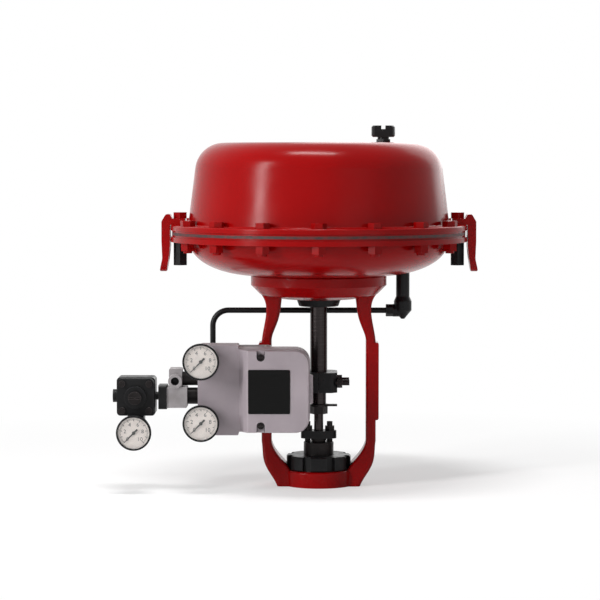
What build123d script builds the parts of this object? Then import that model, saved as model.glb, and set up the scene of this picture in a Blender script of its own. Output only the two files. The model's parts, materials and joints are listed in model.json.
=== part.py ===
from build123d import *
import math
import os

# Spring diaphragm actuator with a positioner, in millimetres.
# +Z is up along the stem, +Y points to the back and +X to the right as seen from the front.
# The origin is the centre of the yoke's base face, where the actuator stands on its valve.

# Fits
running_gap = 0.05
loose_gap = 0.4
sheet_wall = 3.0

# Yoke
yoke_height = 295.0
yoke_flange_radius = 95.0
yoke_flange_rim = 14.0
yoke_flange_depth = 33.0
leg_outer_radius = 80.0
leg_thickness = 14.0
leg_width = 34.0
shoulder_length = 61.0
pad_radius = 84.0
pad_low = 92.0
pad_high = 201.0
hub_radius = 50.0
hub_height = 22.0
pilot_radius = 35.7
pilot_depth = 8.0
shoulder_radius = 34.0

# Casings
flange_radius = 207.0
flange_ring = 9.5
bowl_depth = 47.0
bowl_floor_radius = 91.0
bowl_mouth_radius = 181.0
cap_height = 114.5
cap_foot_radius = 182.6
cap_crown_radius = 168.0
cap_corner = 40.0
bolt_edge_distance = 13.0
bolt_count = 16
bolt_radius = 6.0
bolt_flats = 18.0
bolt_head = 7.5
nut_height = 10.8
lug_nut_height = 33.5

# Diaphragm, plate and springs
diaphragm_wall = 3.0
diaphragm_edge = 4.0
plate_radius = 128.0
plate_wall = 5.0
plate_rim = 13.0
plate_lift = 8.0
spring_count = 4
spring_circle = 92.0
spring_radius = 27.0
spring_wire = 6.0
spring_turns = 4.0
travel = 38.0

# Stem column
stem_radius = 12.0
stem_foot_radius = 10.5
stem_bottom = 113.0
stem_foot_length = 18.0
stem_thread_radius = 8.0
plug_stem_radius = 6.5
bushing_radius = 20.0
neck_radius = 21.0
neck_top = 60.0
packing_radius = 9.5
yoke_nut_radius = 45.0
yoke_nut_height = 20.0
clamp_low = 131.0
clamp_height = 28.0
clamp_half_width = 26.0
clamp_half_depth = 27.0

# Positioner
housing_left = -166.0
housing_step = -110.0
housing_right = -12.0
housing_back = -36.0
housing_front = -78.0
housing_low = 83.0
housing_high = 197.0
housing_corner = 20.0
housing_wall = 6.0
block_margin = 5.0
cover_depth = 22.0
cover_wall = 3.0
cover_bevel = 13.0
hinge_forward = 5.0
hinge_pin_radius = 2.0
knuckle_radius = 4.2
knuckle_low = 123.0
knuckle_high = 162.0
lever_pivot_x = -94.0
lever_pivot_z = 164.0
lever_plane = -31.5
lever_wall = 3.0
take_off_x = -18.0
take_off_radius = 3.0
shaft_radius = 4.0

# Gauges and air set
gauge_radius = 25.0
small_gauge_radius = 24.0
gauge_depth = 25.0
gauge_front = -115.0
gauge_socket_radius = 5.5
port_radius = 5.7
port_depth = 11.0
tube_radius = 4.0
tube_bend = 22.0
tube_height = 243.0
tube_back = 32.0
elbow_x = 119.0
drop_x = -150.0
drop_low = 150.0

# Vent, lug, screw and packing sizes
vent_x = 90.0
vent_neck_radius = 8.0
vent_head_radius = 16.5
lug_thickness = 9.0
lug_width = 28.0
lug_hole_radius = 8.0
lug_drop = 42.0
yoke_screw_circle = 60.0
yoke_screw_radius = 5.0
yoke_screw_depth = 20.0
yoke_screw_angles = [30 + 60 * step for step in range(6)]
collar_radius = 30.0
seal_radius = 16.0
pointer_wall = 3.0
plug_stem_low = 8.5
plug_stem_depth = 32.0
clamp_bolt_radius = 4.0
clamp_bolt_ys = (-17.5, 17.5)
packing_low = 40.0
packing_count = 3
follower_low = 54.0
packing_flange_wall = 11.0
stud_x = 15.5
stud_radius = 4.0

# Bracket, cover screw, port and regulator sizes
bracket_wall = 8.0
bracket_screw_radius = 4.0
leg_bolt_x = 74.0
bracket_screw_heights = (116.0, 190.0)
housing_bolt_places = ((-121.0, 104.0), (-121.0, 186.0))
cover_screw_x = -79.0
cover_screw_inset = 10.0
cam_plane = -56.0
gauge_x = -160.0
gauge_inset = 15.0
small_gauge_z = 85.0
regulator_x = -251.5
regulator_half = 26.5
supply_z = 130.5
adjuster_radius = 5.0
elbow_neck_radius = 9.5
nipple_y = -57.0
upper_nipple_z = 154.5
manifold_right = -181.0
signal_port_x = -197.4
signal_port_z = 152.0
signal_port_front = -76.0

# Places worked out from the sizes above
bowl_floor = yoke_height + sheet_wall
lower_ring_low = yoke_height + bowl_depth
lower_ring_high = lower_ring_low + flange_ring
upper_ring_low = lower_ring_high + diaphragm_edge
upper_ring_high = upper_ring_low + flange_ring
cap_top = upper_ring_high + cap_height
cap_ceiling = cap_top - sheet_wall
bolt_circle = flange_radius - bolt_edge_distance
yoke_flange_low = yoke_height - yoke_flange_depth
leg_inner_radius = leg_outer_radius - leg_thickness
arm_face = leg_width / 2 - 0.5
diaphragm_low = bowl_floor + plate_lift
plate_low = diaphragm_low + diaphragm_wall
plate_top = plate_low + plate_wall
stem_shoulder = stem_bottom + stem_foot_length
clamp_middle = clamp_low + clamp_height / 2
yoke_nut_top = hub_height + yoke_nut_height
housing_depth_middle = (housing_back + housing_front) / 2
hinge_y = housing_front - hinge_forward
neck_shoulder = hub_height - 8
lug_seat = upper_ring_high + lug_thickness
lug_tip = lower_ring_low - lug_drop
plug_stem_top = stem_bottom + plug_stem_depth
stem_nut_top = plate_top + 15
packing_nut_top = neck_top + 5 + packing_flange_wall + 6.5
take_off_z = lever_pivot_z - travel / 2
cover_screw_places = ((-1, housing_low + cover_screw_inset), (1, housing_high - cover_screw_inset))
knuckle_span = (knuckle_high - knuckle_low) / 3
lug_range = (knuckle_low + knuckle_span, knuckle_high - knuckle_span)
gauge_heights = (housing_low + gauge_inset, housing_high - gauge_inset)
nipple_sizes = ((supply_z, 9.0), (upper_nipple_z, 7.0))
elbow_top = bowl_floor + 4
screw_spread = regulator_half - 8
bonnet_screw_places = [
    (regulator_x + dx, supply_z + dz) for dx in (-screw_spread, screw_spread) for dz in (-screw_spread, screw_spread)
]

upright = (Align.CENTER, Align.CENTER, Align.MIN)
bolt_angles = [360 / bolt_count * step for step in range(bolt_count)]
parts = {}


def tube_between(radius, start, end):
    """Round bar from one point to another."""
    line = Vector(*end) - Vector(*start)
    return Plane(origin=start, z_dir=line) * Cylinder(radius, line.length, align=upright)


def hexagon_between(flats, start, end, turn=0):
    """Hexagonal bar from one point to another."""
    line = Vector(*end) - Vector(*start)
    sketch = RegularPolygon(flats / 2, 6, major_radius=False, rotation=turn)
    return extrude(Plane(origin=start, z_dir=line) * sketch, line.length)


def disc(radius, low, high, x=0, y=0):
    """Upright round bar between two heights."""
    return tube_between(radius, (x, y, low), (x, y, high))


def block(low, high):
    """Box between its lowest and its highest corner."""
    size = [b - a for a, b in zip(low, high)]
    middle = [(a + b) / 2 for a, b in zip(low, high)]
    return Pos(*middle) * Box(*size)


def outline(points, rounds=()):
    """Closed outline; rounds lists a corner's number and its radius."""
    face = Sketch() + make_face(Polyline(*points, close=True))
    for number, radius in rounds:
        corner = face.vertices().sort_by_distance(Vector(*points[number]))[0]
        face = fillet(corner, radius)
    return face


def spun(face):
    """Solid turned about the stem axis from an outline of radius and height."""
    return revolve(Plane.XZ * face, Axis.Z)


def front_plate(face, back, front):
    """Plate whose outline is seen from the front, between two depths."""
    return extrude(Plane.XZ.offset(-back) * face, back - front)


def on_circle(radius, angle):
    """Point on a circle about the stem axis."""
    return radius * math.cos(math.radians(angle)), radius * math.sin(math.radians(angle))


def mirrored(shape):
    """The same piece on the other side of the stem."""
    return mirror(shape, Plane.YZ)


def group(shapes):
    """Separate solids that share one node."""
    return Compound(children=[solid for shape in shapes for solid in shape.solids()])


# Casings


def upper_casing():
    """Pressed dome with a flat crown, a clamping ring and a hole for the vent."""

    def dome(inset, low):
        slope = (cap_foot_radius - cap_crown_radius) / cap_height
        side = inset * math.hypot(1, slope)
        foot = cap_foot_radius - side + slope * (upper_ring_high - low)
        crown = cap_crown_radius - side + slope * inset
        points = [(0, low), (foot, low), (crown, cap_top - inset), (0, cap_top - inset)]
        return outline(points, [(2, cap_corner - inset)])

    ring_points = [
        (cap_foot_radius - sheet_wall, upper_ring_low),
        (flange_radius - 2, upper_ring_low),
        (flange_radius - 2, upper_ring_low + 2.5),
        (flange_radius, upper_ring_low + 2.5),
        (flange_radius, upper_ring_high),
        (cap_foot_radius - sheet_wall, upper_ring_high),
    ]
    shell = spun(dome(0, upper_ring_low) + outline(ring_points, [(4, 2)]))
    shell -= spun(dome(sheet_wall, upper_ring_low - 1))
    seam = shell.edges().filter_by(GeomType.CIRCLE).group_by(Axis.Z)
    foot = [e for row in seam for e in row if abs(e.radius - cap_foot_radius) < 0.1]
    shell = fillet(foot, 2)
    for angle in bolt_angles:
        x, y = on_circle(bolt_circle, angle)
        shell -= disc(bolt_radius + loose_gap, upper_ring_low - 1, upper_ring_high + 1, x, y)
    return shell - disc(vent_neck_radius, cap_ceiling - 1, cap_top + 1, vent_x)


def lower_casing():
    """Shallow pressed bowl with a clamping ring, bolted to the yoke through its floor."""
    depth = bowl_depth
    reach = bowl_mouth_radius - bowl_floor_radius
    centre = (bowl_floor_radius, lower_ring_low)
    outer = EllipticalCenterArc(centre, reach, depth, start_angle=270, arc_size=90)
    inner = EllipticalCenterArc(
        centre, reach - sheet_wall, depth - sheet_wall, start_angle=270, arc_size=90
    )
    hole = bushing_radius
    edges = [
        Line((hole, yoke_height), outer @ 0),
        outer,
        Polyline(
            outer @ 1,
            (flange_radius, lower_ring_low),
            (flange_radius, lower_ring_high - 2.5),
            (flange_radius - 2, lower_ring_high - 2.5),
            (flange_radius - 2, lower_ring_high),
            (bowl_mouth_radius - sheet_wall, lower_ring_high),
            inner @ 1,
        ),
        inner,
        Polyline(inner @ 0, (hole, bowl_floor), (hole, yoke_height)),
    ]
    shell = spun(make_face(edges))
    for angle in bolt_angles:
        x, y = on_circle(bolt_circle, angle)
        shell -= disc(bolt_radius + loose_gap, lower_ring_low - 1, lower_ring_high + 1, x, y)
    for angle in yoke_screw_angles:
        x, y = on_circle(yoke_screw_circle, angle)
        shell -= disc(yoke_screw_radius, yoke_height - 1, bowl_floor + 1, x, y)
    return shell - disc(elbow_neck_radius, yoke_height - 1, lower_ring_low, elbow_x, tube_back)


def diaphragm():
    """Moulded rubber diaphragm: a clamped edge, one rolling fold and a flat centre."""
    fold_in = plate_radius + diaphragm_wall
    fold_out = bowl_mouth_radius - sheet_wall - 7
    edge = flange_radius - 2
    points = [
        (stem_thread_radius, diaphragm_low),
        (fold_in, diaphragm_low),
        (fold_out, lower_ring_high),
        (edge, lower_ring_high),
        (edge, upper_ring_low),
        (fold_out - diaphragm_wall, upper_ring_low),
        (fold_in - 2, plate_low),
        (stem_thread_radius, plate_low),
    ]
    sheet = spun(outline(points, [(1, 8), (2, 8)]))
    for angle in bolt_angles:
        x, y = on_circle(bolt_circle, angle)
        sheet -= disc(bolt_radius + loose_gap, lower_ring_high - 1, upper_ring_low + 1, x, y)
    return sheet


def diaphragm_plate():
    """Pressed pan that carries the springs on the diaphragm."""
    rim_inside = plate_radius - plate_wall + 1
    points = [
        (stem_thread_radius, plate_low),
        (plate_radius, plate_low),
        (plate_radius, plate_low + plate_rim),
        (rim_inside, plate_low + plate_rim),
        (rim_inside, plate_top),
        (stem_thread_radius, plate_top),
    ]
    return spun(outline(points, [(1, 5)]))


def range_springs():
    """Coil springs between the plate and the crown, with their ends ground flat."""
    middle = spring_radius - spring_wire / 2
    length = cap_ceiling - plate_top
    pitch = (length - spring_wire) / spring_turns
    section = Plane.XZ * Pos(middle, 0) * Rectangle(spring_wire, spring_wire)
    coil = sweep(section, path=Helix(pitch, length + 2 * spring_wire, middle), is_frenet=True)
    spring = Pos(0, 0, -spring_wire) * coil & disc(spring_radius + 5, 0, length)
    placed = []
    for step in range(spring_count):
        x, y = on_circle(spring_circle, 45 + 360 / spring_count * step)
        placed.append(Pos(x, y, plate_top) * spring)
    return group(placed)


def hex_screw(flats, head, radius, x, y, seat, tip):
    """Hexagon screw with a flat towards the stem, its head above its seat and its shank below."""
    turn = math.degrees(math.atan2(y, x)) + 30
    top = hexagon_between(flats, (x, y, seat), (x, y, seat + head), turn)
    return top + disc(radius, tip, seat, x, y)


def casing_bolts():
    """The short bolts round the rim; the two on the X axis hold the lifting lugs."""
    tip = lower_ring_low - nut_height - 3
    places = [on_circle(bolt_circle, a) for a in bolt_angles if a % 180 != 0]
    return group(
        hex_screw(bolt_flats, bolt_head, bolt_radius, x, y, upper_ring_high, tip) for x, y in places
    )


def casing_nuts():
    """Nuts of the short bolts, under the lower clamping ring."""
    nuts = []
    for angle in bolt_angles:
        if angle % 180 != 0:
            x, y = on_circle(bolt_circle, angle)
            low = (x, y, lower_ring_low - nut_height)
            nut = hexagon_between(bolt_flats, low, (x, y, lower_ring_low), 30)
            nuts.append(nut - disc(bolt_radius, low[2] - 1, lower_ring_low + 1, x, y))
    return group(nuts)


def lug_bolt():
    """Long bolt through a lifting lug and the rim, on the right."""
    tip = lower_ring_low - lug_nut_height + 4
    return hex_screw(bolt_flats, 8.5, bolt_radius, bolt_circle, 0, lug_seat, tip)


def lug_nut():
    """Tall blind nut under the rim, on the right."""
    low = (bolt_circle, 0, lower_ring_low - lug_nut_height)
    nut = hexagon_between(bolt_flats, low, (bolt_circle, 0, lower_ring_low), 30)
    return nut - disc(bolt_radius, low[2] + 4, lower_ring_low + 1, bolt_circle)


def lifting_lug():
    """Bent lug under the long bolt, with a strap that hangs outside the rim, on the right."""
    inside = cap_foot_radius + 4.5
    strap_in = flange_radius + 0.5
    strap_out = strap_in + 12
    top = lug_seat
    points = [
        (inside, upper_ring_high),
        (inside, top),
        (strap_in - 3, top),
        (strap_in, top + 6),
        (strap_out - 6, top + 6),
        (strap_out, top - 4),
        (strap_out, lower_ring_low),
        (strap_out - 1, lower_ring_low - 24),
        (strap_out + 3, lug_tip),
        (strap_in + 5, lug_tip),
        (strap_in + 2, lower_ring_low - 24),
        (strap_in, lower_ring_low - 6),
        (strap_in, upper_ring_high),
    ]
    side = outline(points, [(3, 3), (4, 3), (5, 4), (6, 20), (7, 18), (8, 2), (9, 2), (10, 18)])
    lug = extrude(Plane.XZ * side, lug_width / 2, both=True)
    height = top + 6 - lug_tip
    front = Pos(0, lug_tip + height / 2) * Rectangle(lug_width, height)
    tip = front.vertices().group_by(Axis.Y)[0]
    front = Plane.YZ * fillet(tip, lug_width / 2 - 2)
    lug &= extrude(front, strap_out + 10)
    lug -= disc(bolt_radius + loose_gap, upper_ring_high - 1, top + 10, bolt_circle)
    hole_z = lower_ring_low - 18
    return lug - tube_between(lug_hole_radius, (strap_in - 5, 0, hole_z), (strap_out + 10, 0, hole_z))


def vent_plug():
    """Screwed breather cap on the crown, with two grip flats."""
    neck = disc(vent_neck_radius, cap_ceiling, cap_top + 9, vent_x)
    nut = hexagon_between(19, (vent_x, 0, cap_top), (vent_x, 0, cap_top + 5), 30)
    head = disc(vent_head_radius, cap_top + 8, cap_top + 24, vent_x)
    head = chamfer(head.edges().filter_by(GeomType.CIRCLE), 2)
    for side in (-1, 1):
        y = side * vent_head_radius
        head -= block((vent_x - 20, y - 6, cap_top + 7), (vent_x + 20, y + 6, cap_top + 25))
    notch = block((vent_x - 3, -20, cap_top + 19), (vent_x + 3, 20, cap_top + 25))
    return neck + nut + (head - notch)


# Yoke and stem column


def yoke_leg():
    """Cast arm on the right, blended through rounded sections from the flange to the hub."""
    inner = leg_inner_radius
    outer = leg_outer_radius
    half = leg_width / 2
    low = hub_height
    top = yoke_flange_low
    foot = [
        (0, inner - 36, outer - 22, half + 11),
        (low - 6, inner - 32, outer - 13, half + 9),
        (low + 9, inner - 20, outer - 4.5, half + 5),
        (low + 23, inner - 8, outer - 1.5, half + 2),
        (low + 40, inner, outer, half),
    ]
    shank = [(low + 40, inner, outer, half), (top - shoulder_length, inner, outer, half)]
    shoulder = [
        (top - shoulder_length, inner, outer, half),
        (top - 44, inner - 4, outer - 2.5, half),
        (top - 28, inner - 10, outer - 5.5, half + 0.5),
        (top - 12, inner - 13, outer - 6.5, half + 2),
        (top + 6, inner - 16, outer, half + 6),
    ]
    leg = Part()
    for stations in (foot, shank, shoulder):
        sections = []
        for height, near, far, width in stations:
            face = Pos((near + far) / 2, 0) * RectangleRounded(far - near, 2 * width, 5)
            sections.append(Pos(0, 0, height) * face)
        leg += loft(sections)
    pad = block((outer - 6, -half, pad_low), (pad_radius, half, pad_high))
    pad = fillet(pad.edges().filter_by(Axis.Y).group_by(Axis.X)[-1], 3)
    return leg + pad


def yoke():
    """Cast yoke: round flange for the casing, two arms with pads, and the base hub."""
    low = yoke_flange_low
    rim = yoke_flange_radius
    flange_points = [
        (0, low),
        (rim - 42, low),
        (rim - 14, low + 5),
        (rim, yoke_height - yoke_flange_rim),
        (rim, yoke_height),
        (0, yoke_height),
    ]
    body = spun(outline(flange_points, [(1, 10), (2, 12), (4, 2)]))
    hub = spun(outline([(0, 0), (hub_radius, 0), (hub_radius, hub_height), (0, hub_height)], [(2, 3)]))
    leg = yoke_leg()
    body += hub + leg + mirrored(leg)
    body -= disc(pilot_radius, -1, pilot_depth)
    body -= disc(shoulder_radius, pilot_depth - 1, neck_shoulder)
    body -= disc(neck_radius, 0, hub_height + 1)
    body -= disc(yoke_nut_radius + 1.5, hub_height, yoke_nut_top + 6)
    body -= disc(bushing_radius, low - 1, yoke_height + 1)
    for angle in yoke_screw_angles:
        x, y = on_circle(yoke_screw_circle, angle)
        body -= disc(yoke_screw_radius, yoke_height - yoke_screw_depth, yoke_height + 1, x, y)
    body -= block((-pad_radius - 5, -40, pad_low - 6), (-leg_inner_radius + 10, -arm_face, pad_high + 6))
    for height in bracket_screw_heights:
        body -= tube_between(bracket_screw_radius, (-leg_bolt_x, -40, height), (-leg_bolt_x, 0, height))
    return body


def yoke_screws():
    """Low-head screws that hold the yoke under the lower casing."""
    tip = yoke_height - yoke_screw_depth
    places = [on_circle(yoke_screw_circle, angle) for angle in yoke_screw_angles]
    return group(hex_screw(16, 5, yoke_screw_radius, x, y, bowl_floor, tip) for x, y in places)


def stem_bushing():
    """Flanged guide of the stem, pushed up into the yoke from the window."""
    low = yoke_flange_low
    top = bowl_floor + 1
    points = [
        (stem_radius + running_gap, low - 11),
        (27.5, low - 11),
        (31.5, low),
        (bushing_radius, low),
        (bushing_radius, top),
        (seal_radius, top),
        (seal_radius, top - 8),
        (stem_radius + running_gap, top - 8),
    ]
    return spun(outline(points, [(1, 2)]))


def ring(inner, outer, low, high):
    """Plain ring about the stem axis."""
    return disc(outer, low, high) - disc(inner, low - 1, high + 1)


def actuator_stem():
    """Stem with a shoulder under the diaphragm, a thread above it and a blind hole below."""
    points = [
        (0, stem_bottom),
        (stem_foot_radius, stem_bottom),
        (stem_foot_radius, stem_shoulder),
        (stem_radius, stem_shoulder),
        (stem_radius, diaphragm_low - 4),
        (collar_radius, diaphragm_low - 4),
        (collar_radius, diaphragm_low),
        (stem_thread_radius, diaphragm_low),
        (stem_thread_radius, stem_nut_top + 4),
        (0, stem_nut_top + 4),
    ]
    return spun(outline(points, [(1, 1), (3, 1)])) - disc(plug_stem_radius, 0, plug_stem_top)


def plug_stem():
    """Thin stem from the valve, screwed up into the actuator stem."""
    bar = disc(plug_stem_radius, plug_stem_low, plug_stem_top)
    return chamfer(bar.edges().group_by(Axis.Z)[0], 1)


def stem_clamp_half(side):
    """Half of the split clamp on the stem; side is +1 on the right and -1 on the left."""
    split = 0.5
    points = [
        (split, -clamp_half_depth),
        (clamp_half_width - 8, -clamp_half_depth),
        (clamp_half_width, -clamp_half_depth + 8),
        (clamp_half_width, clamp_half_depth - 8),
        (clamp_half_width - 8, clamp_half_depth),
        (split, clamp_half_depth),
    ]
    half = Pos(0, 0, clamp_low) * extrude(outline(points, [(1, 3), (2, 3), (3, 3), (4, 3)]), clamp_height)
    half -= disc(stem_radius, clamp_low - 1, clamp_low + clamp_height + 1)
    for y in clamp_bolt_ys:
        half -= tube_between(clamp_bolt_radius, (0, y, clamp_middle), (40, y, clamp_middle))
    if side > 0:
        return half
    half = mirrored(half)
    start = (take_off_x, -clamp_half_depth + 5, take_off_z)
    return half - tube_between(take_off_radius, start, (take_off_x, -clamp_half_depth - 1, take_off_z))


def clamp_bolts():
    """Two bolts through the clamp with their nuts, along the X axis."""
    bolts = []
    edge = clamp_half_width
    for y in clamp_bolt_ys:
        z = clamp_middle
        bolt = hexagon_between(13, (-edge - 5.3, y, z), (-edge, y, z))
        bolt += tube_between(clamp_bolt_radius, (-edge, y, z), (edge + 17, y, z))
        nut = hexagon_between(13, (edge, y, z), (edge + 7, y, z))
        bolts += [bolt, nut - tube_between(clamp_bolt_radius, (edge - 1, y, z), (edge + 8, y, z))]
    return group(bolts)


def take_off_pin():
    """Pin on the clamp that moves the feedback lever."""
    start = (take_off_x, -clamp_half_depth + 5, take_off_z)
    tip = (take_off_x, lever_plane - lever_wall / 2 - 1, take_off_z)
    return tube_between(take_off_radius, start, tip)


def lock_nut():
    """Nut that locks the plug stem under the travel pointer."""
    high = stem_bottom - pointer_wall
    nut = hexagon_between(22, (0, 0, high - 10.5), (0, 0, high))
    return nut - disc(plug_stem_radius, high - 12, high + 1)


def travel_pointer():
    """Thin washer with an arm, held between the lock nut and the stem."""
    low = stem_bottom - pointer_wall
    washer = disc(13, low, stem_bottom)
    arm = block((8, -3, low), (26, 3, stem_bottom))
    return washer + arm - disc(plug_stem_radius, low - 1, stem_bottom + 1)


def packing_box():
    """Neck of the bonnet: it passes the hub, seats under it and holds the packing."""
    points = [
        (plug_stem_radius + running_gap, pilot_depth),
        (shoulder_radius, pilot_depth),
        (shoulder_radius, neck_shoulder),
        (neck_radius, neck_shoulder),
        (neck_radius, neck_top),
        (packing_radius, neck_top),
        (packing_radius, packing_low),
        (plug_stem_radius + running_gap, packing_low),
    ]
    neck = spun(outline(points, [(4, 1)]))
    for x in (-stud_x, stud_x):
        neck -= disc(stud_radius, neck_top - 12, neck_top + 1, x)
    return neck


def packing_rings():
    """Stack of packing rings round the plug stem."""
    height = (follower_low - packing_low) / packing_count
    rings = []
    for step in range(packing_count):
        low = packing_low + step * height
        rings.append(ring(plug_stem_radius + running_gap, packing_radius, low, low + height))
    return group(rings)


def packing_follower():
    """Stepped ring that the flange presses on the packing."""
    bore = plug_stem_radius + running_gap
    return ring(bore, packing_radius - 0.1, follower_low, neck_top + 3) + ring(
        bore, 11, neck_top + 2, neck_top + 5
    )


def packing_flange():
    """Oval plate over the follower, drawn down by two studs."""
    low = neck_top + 5
    ear = 9.5
    ends = [Pos(x, 0) * Circle(ear) for x in (-stud_x, stud_x)]
    plan = make_hull((Circle(15.5) + ends[0] + ends[1]).edges())
    plate = Pos(0, 0, low) * extrude(plan, packing_flange_wall)
    plate -= disc(plug_stem_radius + loose_gap, low - 1, low + 20)
    for x in (-stud_x, stud_x):
        plate -= disc(stud_radius + loose_gap, low - 1, low + 20, x)
    return plate


def packing_studs():
    """Two studs in the neck."""
    return group(disc(stud_radius, neck_top - 12, packing_nut_top + 6, x) for x in (-stud_x, stud_x))


def packing_nuts():
    """Nuts on the studs."""
    nuts = []
    for x in (-stud_x, stud_x):
        low = packing_nut_top - 6.5
        nut = hexagon_between(13, (x, 0, low), (x, 0, packing_nut_top), 30)
        nuts.append(nut - disc(stud_radius, low - 1, packing_nut_top + 1, x))
    return group(nuts)


def yoke_nut():
    """Slotted nut that holds the yoke down on the bonnet."""
    nut = ring(neck_radius, yoke_nut_radius, hub_height, yoke_nut_top)
    nut = chamfer(nut.edges().filter_by(GeomType.CIRCLE).sort_by(SortBy.RADIUS)[-2:], 1.5)
    slot = block((yoke_nut_radius - 6, -6, hub_height - 1), (yoke_nut_radius + 5, 6, yoke_nut_top + 1))
    for step in range(8):
        nut -= Rot(0, 0, 22.5 + 45 * step) * slot
    return nut


# Positioner


def housing_outline(inset):
    """Front view of the covered part of the housing, moved inwards by the inset."""
    left = housing_step + inset
    right = housing_right - inset
    low = housing_low + inset
    high = housing_high - inset
    corner = max(housing_corner - inset, 2)
    return outline([(left, low), (right, low), (right, high), (left, high)], [(1, corner), (2, corner)])


def positioner_housing():
    """Cast housing: a solid port block on the left and an open chamber on the right."""
    low = housing_low - block_margin
    high = housing_high + block_margin
    corners = [
        (housing_left, low),
        (housing_step, low),
        (housing_step, high),
        (housing_left, high),
    ]
    port_block = front_plate(outline(corners, [(0, 6), (3, 6), (1, 2), (2, 2)]), housing_back, housing_front)
    body = port_block + front_plate(housing_outline(0), housing_back, housing_front)
    body -= front_plate(housing_outline(housing_wall), housing_back - housing_wall, housing_front - 1)
    for _, z in cover_screw_places:
        boss = tube_between(6, (cover_screw_x, housing_back - 1, z), (cover_screw_x, housing_front, z))
        body += boss - tube_between(
            2.5, (cover_screw_x, housing_front + 12, z), (cover_screw_x, housing_front - 1, z)
        )
    pivot = (lever_pivot_x, housing_back + 1, lever_pivot_z)
    body -= tube_between(shaft_radius + running_gap, pivot, (lever_pivot_x, housing_front, lever_pivot_z))
    body += hinge_lug()
    for z in gauge_heights:
        body -= tube_between(gauge_socket_radius, (gauge_x, housing_front + 8, z), (gauge_x, -90, z))
    for x, z in housing_bolt_places:
        body -= tube_between(bracket_screw_radius, (x, housing_back + 1, z), (x, housing_back - 12, z))
    body -= tube_between(7, (drop_x, housing_back + 1, drop_low), (drop_x, housing_back - 10, drop_low))
    for z, radius in nipple_sizes:
        start = (housing_left - 1, nipple_y, z)
        body -= tube_between(radius, start, (housing_left + 8, nipple_y, z))
    return body


def hinge_lug():
    """Knuckle of the housing between the two knuckles of the cover."""
    low, high = lug_range
    knuckle = disc(knuckle_radius, low, high, housing_right, hinge_y)
    web = block((housing_right - 4, hinge_y, low), (housing_right, housing_front + 1, high))
    return knuckle + web - disc(hinge_pin_radius, low - 1, high + 1, housing_right, hinge_y)


def hinge_pin():
    """Pin of the cover hinge, fixed in the housing's knuckle."""
    return disc(hinge_pin_radius, knuckle_low - 1, knuckle_high + 1, housing_right, hinge_y)


def positioner_cover():
    """Hinged cover: a shallow box with a bevelled left side, rounded right corners."""
    back = housing_front
    front = housing_front - cover_depth
    cover = front_plate(housing_outline(0.8), back, front)
    cut = outline(
        [
            (housing_step - 1, back),
            (housing_step + 0.8, back),
            (housing_step + cover_bevel, front),
            (housing_step - 1, front),
        ]
    )
    cover -= extrude(Pos(0, 0, housing_low - 10) * cut, 140)
    rim = cover.faces().sort_by(Axis.Y)[0].outer_wire().edges()
    cover = fillet(rim, 2)
    inner = front_plate(housing_outline(0.8 + cover_wall), back + 1, front + cover_wall)
    shifted = Pos(cover_wall, 0, 0) * extrude(Pos(0, 0, housing_low - 10) * cut, 140)
    cover -= inner - shifted
    centre = (housing_low + housing_high) / 2
    for sign, z in cover_screw_places:
        post = tube_between(6, (cover_screw_x, back, z), (cover_screw_x, front + 8, z))
        notch_post = block(
            (cover_screw_x - 8, front + 1, min(z, z + sign * 20)),
            (cover_screw_x + 8, front + 8, max(z, z + sign * 20)),
        )
        notch_post += tube_between(8, (cover_screw_x, front + 1, z), (cover_screw_x, front + 8, z))
        reach = cover & block((-200, -200, housing_low), (0, 0, housing_high))
        limit = front_plate(housing_outline(1), back, front + 1)
        cover = reach + post + (notch_post & limit)
        notch = tube_between(5.5, (cover_screw_x, front - 1, z), (cover_screw_x, front + 5, z))
        notch += block(
            (cover_screw_x - 5.5, front - 1, min(z, z + sign * 20)),
            (cover_screw_x + 5.5, front + 5, max(z, z + sign * 20)),
        )
        cover -= notch
        cover -= tube_between(2.5, (cover_screw_x, back + 1, z), (cover_screw_x, front, z))
    low, high = lug_range
    gap = loose_gap
    for start, end in ((knuckle_low, low - gap), (high + gap, knuckle_high)):
        cover += disc(knuckle_radius, start, end, housing_right, hinge_y)
    clear = disc(knuckle_radius + 0.6, low - gap, high + gap, housing_right, hinge_y)
    clear += block(
        (housing_right - 5, hinge_y, low - gap), (housing_right + 5, housing_front + 1, high + gap)
    )
    cover -= clear
    return cover - disc(
        hinge_pin_radius + running_gap, knuckle_low - 2, knuckle_high + 2, housing_right, hinge_y
    )


def cover_screws():
    """Captive slotted screws in the notches of the cover."""
    screws = []
    front = housing_front - cover_depth
    for _, z in cover_screw_places:
        head = tube_between(4.5, (cover_screw_x, front + 5, z), (cover_screw_x, front + 1.2, z))
        slot = block((cover_screw_x - 5, front, z - 0.6), (cover_screw_x + 5, front + 2.6, z + 0.6))
        shank = tube_between(2.5, (cover_screw_x, housing_front - 0.3, z), (cover_screw_x, front + 5, z))
        screws.append(head - slot + shank)
    return group(screws)


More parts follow.
